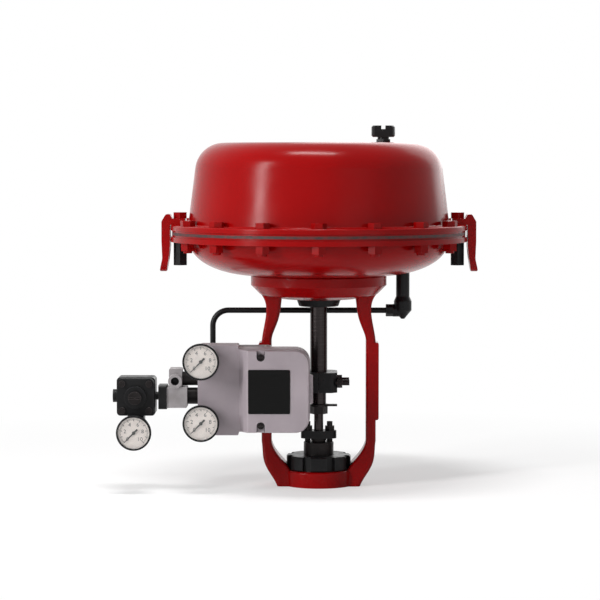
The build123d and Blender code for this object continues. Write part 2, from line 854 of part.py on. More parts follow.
def positioner_bracket():
    """Plate on the pad of the left arm, with two bosses that carry the housing."""
    leg_face = -arm_face
    low = min(z for _, z in housing_bolt_places) - 12
    high = max(z for _, z in housing_bolt_places) + 12
    left = housing_bolt_places[0][0] - 12
    points = [(left, low), (-leg_bolt_x + 11, low), (-leg_bolt_x + 11, high), (left, high)]
    plate = front_plate(outline(points, [(0, 8), (1, 8), (2, 8), (3, 8)]), leg_face, leg_face - bracket_wall)
    slot_half = (bracket_screw_heights[1] - bracket_screw_heights[0]) / 2 - 22
    middle = (low + high) / 2
    window = [
        (left + 12, middle - slot_half),
        (-leg_bolt_x - 13, middle - slot_half),
        (-leg_bolt_x - 13, middle + slot_half),
        (left + 12, middle + slot_half),
    ]
    plate -= front_plate(outline(window, [(0, 5), (1, 5), (2, 5), (3, 5)]), leg_face + 1, leg_face - 20)
    for x, z in housing_bolt_places:
        plate += tube_between(9, (x, leg_face - bracket_wall + 1, z), (x, housing_back, z))
        plate -= tube_between(bracket_screw_radius, (x, 0, z), (x, housing_back - 1, z))
    for z in bracket_screw_heights:
        plate -= tube_between(bracket_screw_radius, (-leg_bolt_x, 0, z), (-leg_bolt_x, -60, z))
    return plate


def bracket_bolts():
    """Bolts into the yoke arm from the front, and into the housing from behind."""
    bolts = []
    leg_face = -arm_face
    front = leg_face - bracket_wall
    for z in bracket_screw_heights:
        head = hexagon_between(13, (-leg_bolt_x, front, z), (-leg_bolt_x, front - 5.3, z))
        shank = tube_between(bracket_screw_radius, (-leg_bolt_x, front, z), (-leg_bolt_x, 0, z))
        bolts.append(head + shank)
    for x, z in housing_bolt_places:
        head = hexagon_between(13, (x, leg_face, z), (x, leg_face + 5.3, z))
        tip = (x, housing_back - 12, z)
        bolts.append(head + tube_between(bracket_screw_radius, (x, leg_face, z), tip))
    return group(bolts)


def lever_tilt():
    """Angle of the lever below the level at rest, in degrees."""
    return math.degrees(math.atan2(travel / 2, take_off_x - lever_pivot_x))


def feedback_lever():
    """Slotted lever that turns the positioner's shaft as the stem rises."""
    reach = math.hypot(travel / 2, take_off_x - lever_pivot_x)
    pin_near = take_off_x - lever_pivot_x
    slot_half = take_off_radius + 0.4
    bar = outline([(0, -7.5), (reach + 9, -6.5), (reach + 9, 6.5), (0, 7.5)], [(1, 6), (2, 6)])
    bar += Circle(9)
    bar -= Pos((pin_near + reach) / 2, 0) * SlotCenterToCenter(reach - pin_near + 4, 2 * slot_half)
    bar -= Circle(shaft_radius)
    front = lever_plane - lever_wall / 2
    lever = front_plate(Rot(0, 0, -lever_tilt()) * bar, front + lever_wall, front)
    lever += front_plate(Circle(8) - Circle(shaft_radius), front, housing_back + 0.4)
    return Pos(lever_pivot_x, 0, lever_pivot_z) * lever


def feedback_shaft():
    """Shaft through the back of the housing, with a nut on the lever."""
    back = lever_plane + lever_wall / 2
    start = (lever_pivot_x, back + 5, lever_pivot_z)
    shaft = tube_between(shaft_radius, start, (lever_pivot_x, housing_front + 14, lever_pivot_z))
    nut_end = (lever_pivot_x, back + 4, lever_pivot_z)
    return shaft + hexagon_between(12, (lever_pivot_x, back, lever_pivot_z), nut_end)


def positioner_cam():
    """Flat spiral cam on the shaft inside the housing."""
    points = []
    for step in range(9):
        angle = math.radians(-70 + 15 * step)
        points.append(((14 + 0.7 * step) * math.cos(angle), (14 + 0.7 * step) * math.sin(angle)))
    rise = Spline(*points)
    face = make_face([rise, Line(rise @ 1, (0, 0)), Line((0, 0), rise @ 0)]) + Circle(7)
    face -= Circle(shaft_radius)
    cam = front_plate(face, cam_plane + 1.5, cam_plane - 1.5)
    return Pos(lever_pivot_x, 0, lever_pivot_z) * cam


def pilot_relay():
    """Relay block with its nozzle beam, on the back wall of the chamber."""
    back = housing_back - housing_wall
    body = block((-62, back - 18, housing_low + housing_wall), (-38, back, 122))
    body += tube_between(7, (-50, back - 9, 122), (-50, back - 9, 132))
    beam = block((-66, back - 24, 132), (-34, back - 6, 134.5))
    return body + beam


# Gauges and air set


def gauge_case(x, z, radius, seat):
    """Round case with a rim, open at the front, and a screwed stem at the back."""
    back = gauge_front + gauge_depth
    points = [
        (0, 0),
        (radius - 2, 0),
        (radius - 2, gauge_depth - 6),
        (radius, gauge_depth - 6),
        (radius, gauge_depth),
        (radius - 2.5, gauge_depth),
        (radius - 2.5, gauge_depth - 5),
        (0, gauge_depth - 5),
    ]
    case = spun(outline(points, [(1, 2), (4, 1)])) - disc(1.05, gauge_depth - 9, gauge_depth)
    case = Pos(x, back, z) * (Rot(90, 0, 0) * case)
    case += tube_between(gauge_socket_radius, (x, back, z), (x, seat + 8, z))
    return case + hexagon_between(14, (x, back, z), (x, (back + seat) / 2, z))


def gauge_dial(x, z, radius):
    """Printed dial disc at the bottom of the case."""
    floor = gauge_front + 5
    return tube_between(radius - 2.5, (x, floor, z), (x, floor - 0.6, z)) - tube_between(
        1.05, (x, floor + 1, z), (x, floor - 2, z)
    )


def gauge_lens(x, z, radius):
    """Clear window in the rim of the case."""
    return tube_between(radius - 2.5, (x, gauge_front + 1.6, z), (x, gauge_front + 0.2, z))


def gauge_needle(x, z, radius):
    """Pointer on its spindle, at rest on the zero at the lower left."""
    length = radius - 6.5
    blade = outline([(-1.3, -7), (1.3, -7), (0.4, length), (-0.4, length)]) + Circle(2.4)
    plane = gauge_front + 3
    needle = front_plate(Rot(0, 0, 135) * blade, plane + 0.4, plane - 0.4)
    needle += front_plate(Sketch() + Circle(1), gauge_front + 8, plane)
    return Pos(x, 0, z) * needle


def air_tube():
    """Rigid tube from the elbow under the casing to the back of the positioner."""
    points = [
        (elbow_x - 14, tube_back, tube_height),
        (drop_x, tube_back, tube_height),
        (drop_x, tube_back, drop_low),
        (drop_x, housing_back + 20, drop_low),
    ]
    path = FilletPolyline(*points, radius=tube_bend)
    start = Plane(origin=points[0], z_dir=(-1, 0, 0))
    wall = 1.5
    tube = sweep(start * Circle(tube_radius), path=path)
    return tube - sweep(start * Circle(tube_radius - wall), path=path)


def casing_elbow():
    """Elbow under the bowl, with a nipple up into the casing and a nut on the tube."""
    points = [
        (0, tube_height - 12),
        (2.5, tube_height - 12),
        (9, tube_height - 4),
        (12.5, tube_height),
        (12.5, tube_height + 13),
        (elbow_neck_radius, tube_height + 20),
        (elbow_neck_radius, elbow_top),
        (0, elbow_top),
    ]
    body = Pos(elbow_x, tube_back, 0) * spun(outline(points, [(2, 3), (4, 3)]))
    side = (elbow_x - 14, tube_back, tube_height)
    body += tube_between(9, (elbow_x, tube_back, tube_height), side)
    nut_end = (elbow_x - 24, tube_back, tube_height)
    body += hexagon_between(15, side, nut_end) - tube_between(tube_radius, side, nut_end)
    body -= tube_between(3.5, (elbow_x, tube_back, tube_height - 5), (elbow_x, tube_back, elbow_top + 1))
    return body - tube_between(2.5, (elbow_x, tube_back, tube_height), side)


def tube_connector():
    """Straight fitting that joins the tube to the back of the housing."""
    inside = (drop_x, housing_back - 10, drop_low)
    seat = (drop_x, housing_back, drop_low)
    face = (drop_x, housing_back + 20, drop_low)
    nut = (drop_x, housing_back + 31, drop_low)
    body = tube_between(7, inside, seat) + hexagon_between(17, seat, face)
    body -= tube_between(3, inside, face)
    return body + hexagon_between(15, face, nut) - tube_between(tube_radius, face, nut)


def air_manifold():
    """Stepped block between the positioner and the regulator, with a port at the front."""
    lower = block((-209, -72, 115), (manifold_right, -42, 144))
    upper = block((-206, -70, 144), (-188, -44, 169))
    body = fillet(lower.edges().filter_by(Axis.Y), 2) + fillet(upper.edges().filter_by(Axis.Y), 2)
    port = (signal_port_x, -60, signal_port_z)
    body += tube_between(9.5, port, (signal_port_x, signal_port_front, signal_port_z))
    port_end = (signal_port_x, signal_port_front - 1, signal_port_z)
    body -= tube_between(port_radius, (signal_port_x, signal_port_front + port_depth, signal_port_z), port_end)
    for z, radius in nipple_sizes:
        left = manifold_right if z < 140 else -188
        body -= tube_between(radius, (left - 6, nipple_y, z), (left + 1, nipple_y, z))
    return body - tube_between(5.5, (-204, nipple_y, supply_z), (-210, nipple_y, supply_z))


def manifold_nipples():
    """Short screwed nipples from the manifold into the port block."""
    nipples = []
    for z, radius in nipple_sizes:
        left = manifold_right if z < 140 else -188
        bar = tube_between(radius, (left - 6, nipple_y, z), (housing_left + 8, nipple_y, z))
        collar_start = (left, nipple_y, z)
        bar += tube_between(radius + 2.5, collar_start, (housing_left, nipple_y, z))
        nipples.append(bar)
    return group(nipples)


def regulator_body():
    """Filter regulator: square body, gauge boss below and outlet neck to the manifold."""
    left = regulator_x - regulator_half
    right = regulator_x + regulator_half
    low = supply_z - regulator_half
    high = supply_z + regulator_half
    body = block((left, -70, low), (right, -36, high))
    body = fillet(body.edges().filter_by(Axis.Y), 5)
    boss = block((regulator_x - 11, -74, low - 32), (regulator_x + 11, -46, low + 0.5))
    body += fillet(boss.edges().filter_by(Axis.Y).group_by(Axis.Z)[0], 5)
    coupling = block((-220.5, -74, 113), (-209, -40, 146))
    body += fillet(coupling.edges().filter_by(Axis.X), 4)
    body += tube_between(5.5, (right - 5, nipple_y, supply_z), (-204, nipple_y, supply_z))
    body += tube_between(9, (left + 5, nipple_y, supply_z), (left - 6, nipple_y, supply_z))
    body -= tube_between(port_radius, (left - 7, nipple_y, supply_z), (left + 8, nipple_y, supply_z))
    socket = (regulator_x, -66, small_gauge_z)
    body -= tube_between(gauge_socket_radius, socket, (regulator_x, -75, small_gauge_z))
    for x, z in bonnet_screw_places:
        body -= tube_between(2.5, (x, -60, z), (x, -71, z))
    return body


def regulator_bonnet():
    """Square spring cover at the front of the regulator."""
    half = regulator_half - 1
    corners = [(-half, -half), (half, -half), (half, half), (-half, half)]
    plate = front_plate(outline(corners, [(n, 6) for n in range(4)]), -70, -79)
    plate += front_plate(Sketch() + Circle(15), -79, -86)
    plate = Pos(regulator_x, 0, supply_z) * plate
    plate -= tube_between(
        adjuster_radius + running_gap, (regulator_x, -72, supply_z), (regulator_x, -90, supply_z)
    )
    for x, z in bonnet_screw_places:
        plate -= tube_between(2.5, (x, -69, z), (x, -90, z))
    return plate


def bonnet_screws():
    """Four screws of the bonnet."""
    screws = []
    for x, z in bonnet_screw_places:
        screws.append(
            tube_between(2.5, (x, -60, z), (x, -79, z)) + tube_between(4.5, (x, -79, z), (x, -82.5, z))
        )
    return group(screws)


def adjusting_screw():
    """Slotted pressure screw in the middle of the bonnet."""
    screw = tube_between(adjuster_radius, (regulator_x, -74, supply_z), (regulator_x, -94, supply_z))
    screw += tube_between(9, (regulator_x, -86.4, supply_z), (regulator_x, -94, supply_z))
    slot = block(
        (regulator_x - 10, -95, supply_z - 1), (regulator_x + 10, -92, supply_z + 1)
    )
    return screw - slot


gauges = {
    "gauge_lower": (gauge_x, gauge_heights[0], gauge_radius, housing_front),
    "gauge_upper": (gauge_x, gauge_heights[1], gauge_radius, housing_front),
    "gauge_regulator": (regulator_x, small_gauge_z, small_gauge_radius, -74.0),
}

parts["upper_casing"] = upper_casing()
parts["lower_casing"] = lower_casing()
parts["diaphragm"] = diaphragm()
parts["diaphragm_plate"] = diaphragm_plate()
parts["range_springs"] = range_springs()
parts["casing_bolts"] = casing_bolts()
parts["casing_nuts"] = casing_nuts()
parts["lug_bolts"] = group([lug_bolt(), mirrored(lug_bolt())])
parts["lug_nuts"] = group([lug_nut(), mirrored(lug_nut())])
parts["lifting_lug_right"] = lifting_lug()
parts["lifting_lug_left"] = mirrored(lifting_lug())
parts["vent_plug"] = vent_plug()
parts["yoke"] = yoke()
parts["yoke_screws"] = yoke_screws()
parts["stem_bushing"] = stem_bushing()
parts["stem_seal"] = ring(stem_radius + running_gap, seal_radius, bowl_floor - 7, bowl_floor - 1)
parts["actuator_stem"] = actuator_stem()
parts["plate_washer"] = ring(stem_thread_radius, 26, plate_top, plate_top + 3)
parts["stem_nut"] = hexagon_between(24, (0, 0, plate_top + 3), (0, 0, stem_nut_top)) - disc(
    stem_thread_radius, plate_top, stem_nut_top + 1
)
parts["plug_stem"] = plug_stem()
parts["stem_clamp_right"] = stem_clamp_half(1)
parts["stem_clamp_left"] = stem_clamp_half(-1)
parts["clamp_bolts"] = clamp_bolts()
parts["take_off_pin"] = take_off_pin()
parts["lock_nut"] = lock_nut()
parts["travel_pointer"] = travel_pointer()
parts["packing_box"] = packing_box()
parts["packing_rings"] = packing_rings()
parts["packing_follower"] = packing_follower()
parts["packing_flange"] = packing_flange()
parts["packing_studs"] = packing_studs()
parts["packing_nuts"] = packing_nuts()
parts["yoke_nut"] = yoke_nut()
parts["positioner_housing"] = positioner_housing()
parts["positioner_cover"] = positioner_cover()
parts["cover_screws"] = cover_screws()
parts["hinge_pin"] = hinge_pin()
parts["positioner_bracket"] = positioner_bracket()
parts["bracket_bolts"] = bracket_bolts()
parts["feedback_lever"] = feedback_lever()
parts["feedback_shaft"] = feedback_shaft()
parts["positioner_cam"] = positioner_cam()
parts["pilot_relay"] = pilot_relay()
for name, (x, z, radius, seat) in gauges.items():
    parts[name + "_case"] = gauge_case(x, z, radius, seat)
    parts[name + "_needle"] = gauge_needle(x, z, radius)
parts["gauge_dials"] = group(gauge_dial(x, z, radius) for x, z, radius, _ in gauges.values())
parts["gauge_lenses"] = group(gauge_lens(x, z, radius) for x, z, radius, _ in gauges.values())
parts["air_tube"] = air_tube()
parts["casing_elbow"] = casing_elbow()
parts["tube_connector"] = tube_connector()
parts["air_manifold"] = air_manifold()
parts["manifold_nipples"] = manifold_nipples()
parts["regulator_body"] = regulator_body()
parts["regulator_bonnet"] = regulator_bonnet()
parts["bonnet_screws"] = bonnet_screws()
parts["adjusting_screw"] = adjusting_screw()

os.makedirs("parts", exist_ok=True)
for name, shape in parts.items():
    export_step(shape, "parts/" + name + ".step")
    print(name, len(shape.solids()), round(shape.volume))
print("nodes", len(parts))
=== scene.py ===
import json
import math

import bmesh
import bpy
from bpy.props import FloatProperty, FloatVectorProperty, IntProperty, PointerProperty
from mathutils import Matrix, Vector


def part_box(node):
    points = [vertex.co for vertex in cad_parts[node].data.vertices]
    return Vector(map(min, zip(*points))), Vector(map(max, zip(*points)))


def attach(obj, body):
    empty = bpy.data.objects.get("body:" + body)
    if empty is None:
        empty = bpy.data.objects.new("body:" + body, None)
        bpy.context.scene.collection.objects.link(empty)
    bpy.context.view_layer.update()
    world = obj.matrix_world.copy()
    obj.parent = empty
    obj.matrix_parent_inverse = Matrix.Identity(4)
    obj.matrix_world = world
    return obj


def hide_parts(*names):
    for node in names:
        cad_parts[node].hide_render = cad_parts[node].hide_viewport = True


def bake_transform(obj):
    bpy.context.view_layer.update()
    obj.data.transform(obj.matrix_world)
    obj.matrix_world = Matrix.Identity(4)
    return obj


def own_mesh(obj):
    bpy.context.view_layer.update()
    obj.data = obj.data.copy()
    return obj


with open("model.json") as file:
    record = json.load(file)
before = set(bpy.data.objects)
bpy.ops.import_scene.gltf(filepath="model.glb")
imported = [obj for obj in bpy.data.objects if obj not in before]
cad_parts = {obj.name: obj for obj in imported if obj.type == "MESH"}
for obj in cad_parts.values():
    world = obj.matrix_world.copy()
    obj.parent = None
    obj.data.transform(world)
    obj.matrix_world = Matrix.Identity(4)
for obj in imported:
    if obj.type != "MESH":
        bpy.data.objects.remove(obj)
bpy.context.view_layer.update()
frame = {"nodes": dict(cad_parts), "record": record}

# Looks of a spring diaphragm actuator with a positioner, built round its fixed model.
# Everything is in metres, +Z up along the stem, +Y to the back.

bl_info = {
    "name": "Diaphragm Actuator Finishes",
    "version": (1, 0, 0),
    "blender": (4, 5, 0),
    "location": "3D View > Sidebar > Actuator",
    "description": "Paint, metal, dials, plate, threads and studio for a diaphragm actuator",
    "category": "Object",
}

MM = 0.001


# Settings that a user would change


class CasingSettings(bpy.types.PropertyGroup):
    """Paint of the casing and the yoke."""

    paint: FloatVectorProperty(
        name="Paint", description="Colour of the red enamel", subtype="COLOR", size=3,
        min=0.0, max=1.0, default=(0.275, 0.0005, 0.0009),
    )
    deep_paint: FloatVectorProperty(
        name="Deep paint", description="Colour of the enamel where it runs thick", subtype="COLOR",
        size=3, min=0.0, max=1.0, default=(0.215, 0.0004, 0.0007),
    )
    gloss: FloatProperty(
        name="Roughness", description="Roughness of the enamel", subtype="FACTOR",
        min=0.05, max=1.0, default=0.2,
    )
    cast_grain: FloatProperty(
        name="Cast grain", description="Depth of the sand grain under the paint of the yoke",
        subtype="DISTANCE", default=0.00035,
    )


class InstrumentSettings(bpy.types.PropertyGroup):
    """Paint of the positioner and print of the gauges."""

    grey: FloatVectorProperty(
        name="Grey", description="Colour of the positioner's enamel", subtype="COLOR", size=3,
        min=0.0, max=1.0, default=(0.32, 0.276, 0.30),
    )
    dial: FloatVectorProperty(
        name="Dial", description="Colour of the printed dials", subtype="COLOR", size=3,
        min=0.0, max=1.0, default=(0.86, 0.77, 0.73),
    )
    plate_width: FloatProperty(
        name="Plate width", description="Width of the bare black plate on the cover",
        subtype="DISTANCE", default=0.0572,
    )
    plate_height: FloatProperty(
        name="Plate height", description="Height of the bare black plate on the cover",
        subtype="DISTANCE", default=0.0605,
    )
    plate_thickness: FloatProperty(
        name="Plate thickness", description="Thickness of the bare black plate",
        subtype="DISTANCE", default=0.0009,
    )
    dial_steps: IntProperty(
        name="Dial steps", description="Numbered steps on each dial", min=4, max=20, default=10,
    )
    dial_sweep: FloatProperty(
        name="Dial sweep", description="Angle from the zero to the full mark of a dial",
        subtype="ANGLE", default=math.radians(270),
    )


class StudioSettings(bpy.types.PropertyGroup):
    """Camera and lamps."""

    camera_distance: FloatProperty(
        name="Camera distance", description="Distance of the camera from the stem",
        subtype="DISTANCE", default=3.2,
    )
    camera_height: FloatProperty(
        name="Camera height", description="Height of the camera", subtype="DISTANCE",
        default=0.458,
    )
    lens: FloatProperty(name="Lens", description="Focal length in millimetres", default=137.14)
    key_power: FloatProperty(
        name="Key power", description="Power of the tall lamp at the left", default=62.0,
    )
    fill_power: FloatProperty(
        name="Fill power", description="Power of the lamp at the front right", default=3.0,
    )
    floor_tone: FloatVectorProperty(
        name="Floor", description="Colour of the floor and backdrop", subtype="COLOR", size=3,
        min=0.0, max=1.0, default=(0.88, 0.88, 0.88),
    )


# Node trees of the finishes

NOISE_ROUGHNESS = 0.55


class Bench:
    """A material's node tree with short calls to add and join nodes."""

    def __init__(self, name):
        self.material = bpy.data.materials.new(name)
        self.material.use_nodes = True
        self.tree = self.material.node_tree
        self.shader = self.tree.nodes["Principled BSDF"]
        self.place = self.add("ShaderNodeTexCoord").outputs["Object"]

    def add(self, kind, **settings):
        """Adds a node; a setting is an attribute of the node or the name of an input."""
        node = self.tree.nodes.new(kind)
        for key, value in settings.items():
            if hasattr(node, key):
                setattr(node, key, value)
            else:
                self.feed(node, key.replace("_", " ").title(), value)
        return node

    def feed(self, node, socket, value):
        """Gives an input a number, a colour or another node's output."""
        if isinstance(value, bpy.types.NodeSocket):
            self.tree.links.new(value, node.inputs[socket])
        else:
            node.inputs[socket].default_value = value

    def set(self, **values):
        """Sets inputs of the shader itself."""
        for key, value in values.items():
            self.feed(self.shader, key.replace("_", " ").title().replace("Ior", "IOR"), value)

    def noise(self, scale, detail=4.0, stretch=None):
        """Noise in the object's own place, stretched along an axis when asked."""
        place = self.place
        if stretch:
            mapping = self.add("ShaderNodeMapping")
            self.feed(mapping, "Vector", place)
            self.feed(mapping, "Scale", stretch)
            place = mapping.outputs["Vector"]
        node = self.add("ShaderNodeTexNoise")
        for socket, value in (
            ("Vector", place), ("Scale", scale), ("Detail", detail), ("Roughness", NOISE_ROUGHNESS),
        ):
            self.feed(node, socket, value)
        return node.outputs["Fac"]

    def ramp(self, value, low, high, start=0.0, end=1.0):
        """Maps a value from one range to another, and holds it at the ends."""
        node = self.add("ShaderNodeMapRange")
        for socket, number in (
            ("Value", value), ("From Min", low), ("From Max", high), ("To Min", start), ("To Max", end),
        ):
            self.feed(node, socket, number)
        return node.outputs["Result"]

    def mix(self, factor, first, second):
        """Mixes two colours."""
        node = self.add("ShaderNodeMix", data_type="RGBA")
        self.tree.links.new(factor, node.inputs[0])
        for index, colour in ((6, first), (7, second)):
            if isinstance(colour, bpy.types.NodeSocket):
                self.tree.links.new(colour, node.inputs[index])
            else:
                node.inputs[index].default_value = (*colour, 1.0)
        return node.outputs[2]

    def edges(self, width):
        """One where an outer edge or a corner is near, nought on flat faces."""
        soft = self.add("ShaderNodeBevel", samples=4)
        self.feed(soft, "Radius", width)
        true = self.add("ShaderNodeNewGeometry").outputs["Normal"]
        dot = self.add("ShaderNodeVectorMath", operation="DOT_PRODUCT")
        self.tree.links.new(soft.outputs["Normal"], dot.inputs[0])
        self.tree.links.new(true, dot.inputs[1])
        return self.ramp(dot.outputs["Value"], 0.995, 0.86)

    def relief(self, height, depth, radius=0.0004):
        """Small relief over softly rounded edges."""
        soft = self.add("ShaderNodeBevel", samples=4)
        self.feed(soft, "Radius", radius)
        bump = self.add("ShaderNodeBump")
        self.feed(bump, "Height", height)
        self.feed(bump, "Distance", depth)
        self.feed(bump, "Normal", soft.outputs["Normal"])
        self.feed(self.shader, "Normal", bump.outputs["Normal"])


def shade(colour, factor):
    """A lighter or darker tone of a colour."""
    return tuple(min(1.0, part * factor) for part in colour)


def red_paint(name, grain, depth):
    """Red baked enamel: slightly cloudy, dusty in small specks, thin and bright at the edges."""
    casing = bpy.context.scene.actuator_casing
    bench = Bench(name)
    cloud = bench.ramp(bench.noise(5.0, 2.0), 0.3, 0.7)
    colour = bench.mix(cloud, tuple(casing.deep_paint), tuple(casing.paint))
    rub = bench.edges(0.0012)
    broken = bench.add("ShaderNodeMath", operation="MULTIPLY")
    bench.tree.links.new(rub, broken.inputs[0])
    bench.tree.links.new(bench.ramp(bench.noise(140.0), 0.42, 0.62, 0.0, 0.35), broken.inputs[1])
    colour = bench.mix(broken.outputs[0], colour, shade(casing.paint, 1.3))
    specks = bench.ramp(bench.noise(1100.0, 2.0), 0.74, 0.80, 0.0, 0.22)
    bench.set(base_color=bench.mix(specks, colour, shade(casing.deep_paint, 0.5)))
    bench.set(roughness=bench.ramp(bench.noise(30.0), 0.3, 0.7, casing.gloss - 0.03, casing.gloss + 0.05))
    bench.set(specular_ior_level=0.11)
    bench.relief(bench.noise(grain, 3.0), depth)
    return bench.material


def casing_red():
    """Enamel on the pressed casings, with a faint orange peel."""
    return red_paint("casing_red", 420.0, 0.00004)


def yoke_red():
    """Enamel on the sand-cast yoke and the lugs."""
    return red_paint("yoke_red", 230.0, bpy.context.scene.actuator_casing.cast_grain)


def dark_metal(name, tone, metallic, rough, grain):
    """Black oxide or black enamel with rubbed, brighter edges and dusty faces."""
    bench = Bench(name)
    worn = bench.edges(0.0012)
    patches = bench.ramp(bench.noise(60.0), 0.35, 0.7)
    base = bench.mix(patches, shade(tone, 0.7), shade(tone, 1.5))
    bench.set(base_color=bench.mix(worn, base, shade(tone, 4.5)))
    bench.set(metallic=metallic, specular_ior_level=0.16)
    bench.set(roughness=bench.ramp(bench.noise(110.0), 0.3, 0.7, rough - 0.08, rough + 0.12))
    bench.relief(bench.noise(grain, 3.0), 0.00006)
    return bench.material


def fitting_black():
    """Satin black enamel of the fittings and cases."""
    return dark_metal("fitting_black", (0.006, 0.006, 0.0065), 0.0, 0.34, 500.0)


def screw_black():
    """Blackened steel of screws and nuts."""
    return dark_metal("screw_black", (0.014, 0.012, 0.012), 0.5, 0.4, 700.0)


def stem_steel():
    """Stem steel, its near-black colour a painted reflection of a dim room, with fine rings round the bar."""
    bench = Bench("stem_steel")
    rings = bench.noise(60.0, 6.0, (1.0, 1.0, 60.0))
    # Painted reflection: the near-black base colours stand in for a dim room mirrored in the bar
    bench.set(base_color=bench.mix(bench.ramp(rings, 0.3, 0.7), (0.020, 0.017, 0.017), (0.045, 0.038, 0.038)))
    bench.set(metallic=1.0)
    bench.set(roughness=bench.ramp(rings, 0.3, 0.7, 0.18, 0.3))
    bench.relief(rings, 0.000003)
    return bench.material


def screw_zinc():
    """Zinc plate with a cloudy spangle."""
    bench = Bench("screw_zinc")
    cloud = bench.ramp(bench.noise(120.0), 0.3, 0.7)
    bench.set(base_color=bench.mix(cloud, (0.42, 0.42, 0.40), (0.62, 0.61, 0.58)), metallic=1.0)
    bench.set(roughness=bench.ramp(bench.noise(260.0), 0.3, 0.7, 0.28, 0.45))
    bench.relief(bench.noise(800.0), 0.00003)
    return bench.material


def shaft_steel():
    """Ground shaft: fine rings round the bar under a thin film of oil."""
    bench = Bench("shaft_steel")
    rings = bench.noise(60.0, 6.0, (1.0, 1.0, 60.0))
    bench.set(base_color=bench.mix(bench.ramp(rings, 0.3, 0.7), (0.10, 0.10, 0.105), (0.24, 0.24, 0.25)))
    bench.set(metallic=1.0, coat_weight=0.3, coat_roughness=0.1)
    bench.set(roughness=bench.ramp(rings, 0.3, 0.7, 0.2, 0.38))
    bench.relief(rings, 0.00002)
    return bench.material


def housing_grey():
    """Fine textured grey enamel of the positioner."""
    grey = tuple(bpy.context.scene.actuator_instrument.grey)
    bench = Bench("housing_grey")
    cloud = bench.ramp(bench.noise(14.0), 0.35, 0.65)
    colour = bench.mix(cloud, shade(grey, 0.9), shade(grey, 1.1))
    colour = bench.mix(bench.edges(0.0014), colour, shade(grey, 1.35))
    specks = bench.ramp(bench.noise(1100.0, 2.0), 0.66, 0.76, 0.0, 0.5)
    bench.set(base_color=bench.mix(specks, colour, shade(grey, 0.5)))
    bench.set(roughness=bench.ramp(bench.noise(90.0), 0.3, 0.7, 0.42, 0.58))
    bench.relief(bench.noise(1300.0, 2.0), 0.00012, 0.0006)
    return bench.material


def manifold_cast():
    """Bead-blasted aluminium casting."""
    bench = Bench("manifold_cast")
    cloud = bench.ramp(bench.noise(40.0), 0.3, 0.7)
    colour = bench.mix(cloud, (0.23, 0.21, 0.215), (0.34, 0.32, 0.325))
    bench.set(base_color=bench.mix(bench.edges(0.001), colour, (0.5, 0.48, 0.49)), metallic=0.6)
    bench.set(roughness=bench.ramp(bench.noise(300.0), 0.3, 0.7, 0.42, 0.6))
    bench.relief(bench.noise(1500.0), 0.0001)
    return bench.material


def turned_brass():
    """Turned brass with tool rings and a little tarnish."""
    bench = Bench("turned_brass")
    tarnish = bench.ramp(bench.noise(90.0), 0.35, 0.7)
    bench.set(base_color=bench.mix(tarnish, (0.42, 0.27, 0.08), (0.68, 0.49, 0.2)), metallic=1.0)
    bench.set(roughness=bench.ramp(bench.noise(30.0, 4.0, (80.0, 1.0, 1.0)), 0.3, 0.7, 0.22, 0.4))
    bench.relief(bench.noise(30.0, 4.0, (80.0, 1.0, 1.0)), 0.00002)
    return bench.material


def diaphragm_rubber():
    """Rubber edge of the diaphragm, dusted by the red paint round the rim."""
    bench = Bench("diaphragm_rubber")
    dust = bench.ramp(bench.noise(120.0), 0.4, 0.62, 0.1, 0.7)
    bench.set(base_color=bench.mix(dust, (0.015, 0.012, 0.012), (0.13, 0.008, 0.008)), roughness=0.62)
    bench.relief(bench.noise(600.0), 0.00008)
    return bench.material


def packing_white():
    """Pressed packing rings."""
    bench = Bench("packing_white")
    fibre = bench.ramp(bench.noise(500.0, 5.0, (1.0, 1.0, 0.2)), 0.35, 0.65)
    bench.set(base_color=bench.mix(fibre, (0.55, 0.52, 0.45), (0.8, 0.78, 0.72)), roughness=0.7)
    bench.relief(fibre, 0.00005)
    return bench.material


def spring_wire():
    """Phosphated spring wire."""
    return dark_metal("spring_wire", (0.07, 0.075, 0.08), 0.8, 0.45, 400.0)


def dial_print():
    """Off-white printed dial with the faintest mottling."""
    dial = tuple(bpy.context.scene.actuator_instrument.dial)
    bench = Bench("dial_print")
    age = bench.ramp(bench.noise(120.0), 0.3, 0.7)
    bench.set(base_color=bench.mix(age, shade(dial, 0.94), shade(dial, 1.04)), roughness=0.45)
    bench.relief(bench.noise(900.0), 0.00001)
    return bench.material


def black_print():
    """Ink of the dials and the needles."""
    bench = Bench("black_print")
    wear = bench.ramp(bench.noise(700.0), 0.3, 0.7)
    bench.set(base_color=bench.mix(wear, (0.012, 0.012, 0.012), (0.035, 0.033, 0.03)), roughness=0.5)
    bench.relief(bench.noise(900.0), 0.00001)
    return bench.material


def clear_window():
    """Clear window of a gauge."""
    bench = Bench("clear_window")
    bench.set(base_color=(0.98, 0.99, 0.985, 1.0), transmission_weight=1.0, ior=1.45)
    bench.set(roughness=bench.ramp(bench.noise(80.0), 0.4, 0.8, 0.0, 0.05))
    return bench.material


def plate_black():
    """Black anodised plate with a fine brushed grain."""
    bench = Bench("plate_black")
    grain = bench.noise(40.0, 5.0, (1.0, 1.0, 90.0))
    bench.set(base_color=bench.mix(bench.ramp(grain, 0.3, 0.7), (0.002, 0.002, 0.002), (0.006, 0.006, 0.006)))
    bench.set(specular_ior_level=0.1)
    bench.set(roughness=bench.ramp(grain, 0.3, 0.7, 0.3, 0.45))
    bench.relief(grain, 0.00001)
    return bench.material


# Mesh helpers

THREAD_SIDES = 24
THREAD_ROWS = 4
THREAD_DEPTH = 0.35
THREAD_PROUD = 0.00004


def round_point(radius, angle, height=0.0, centre=(0.0, 0.0)):
    """Point on a level circle at a height."""
    return centre[0] + radius * math.cos(angle), centre[1] + radius * math.sin(angle), height


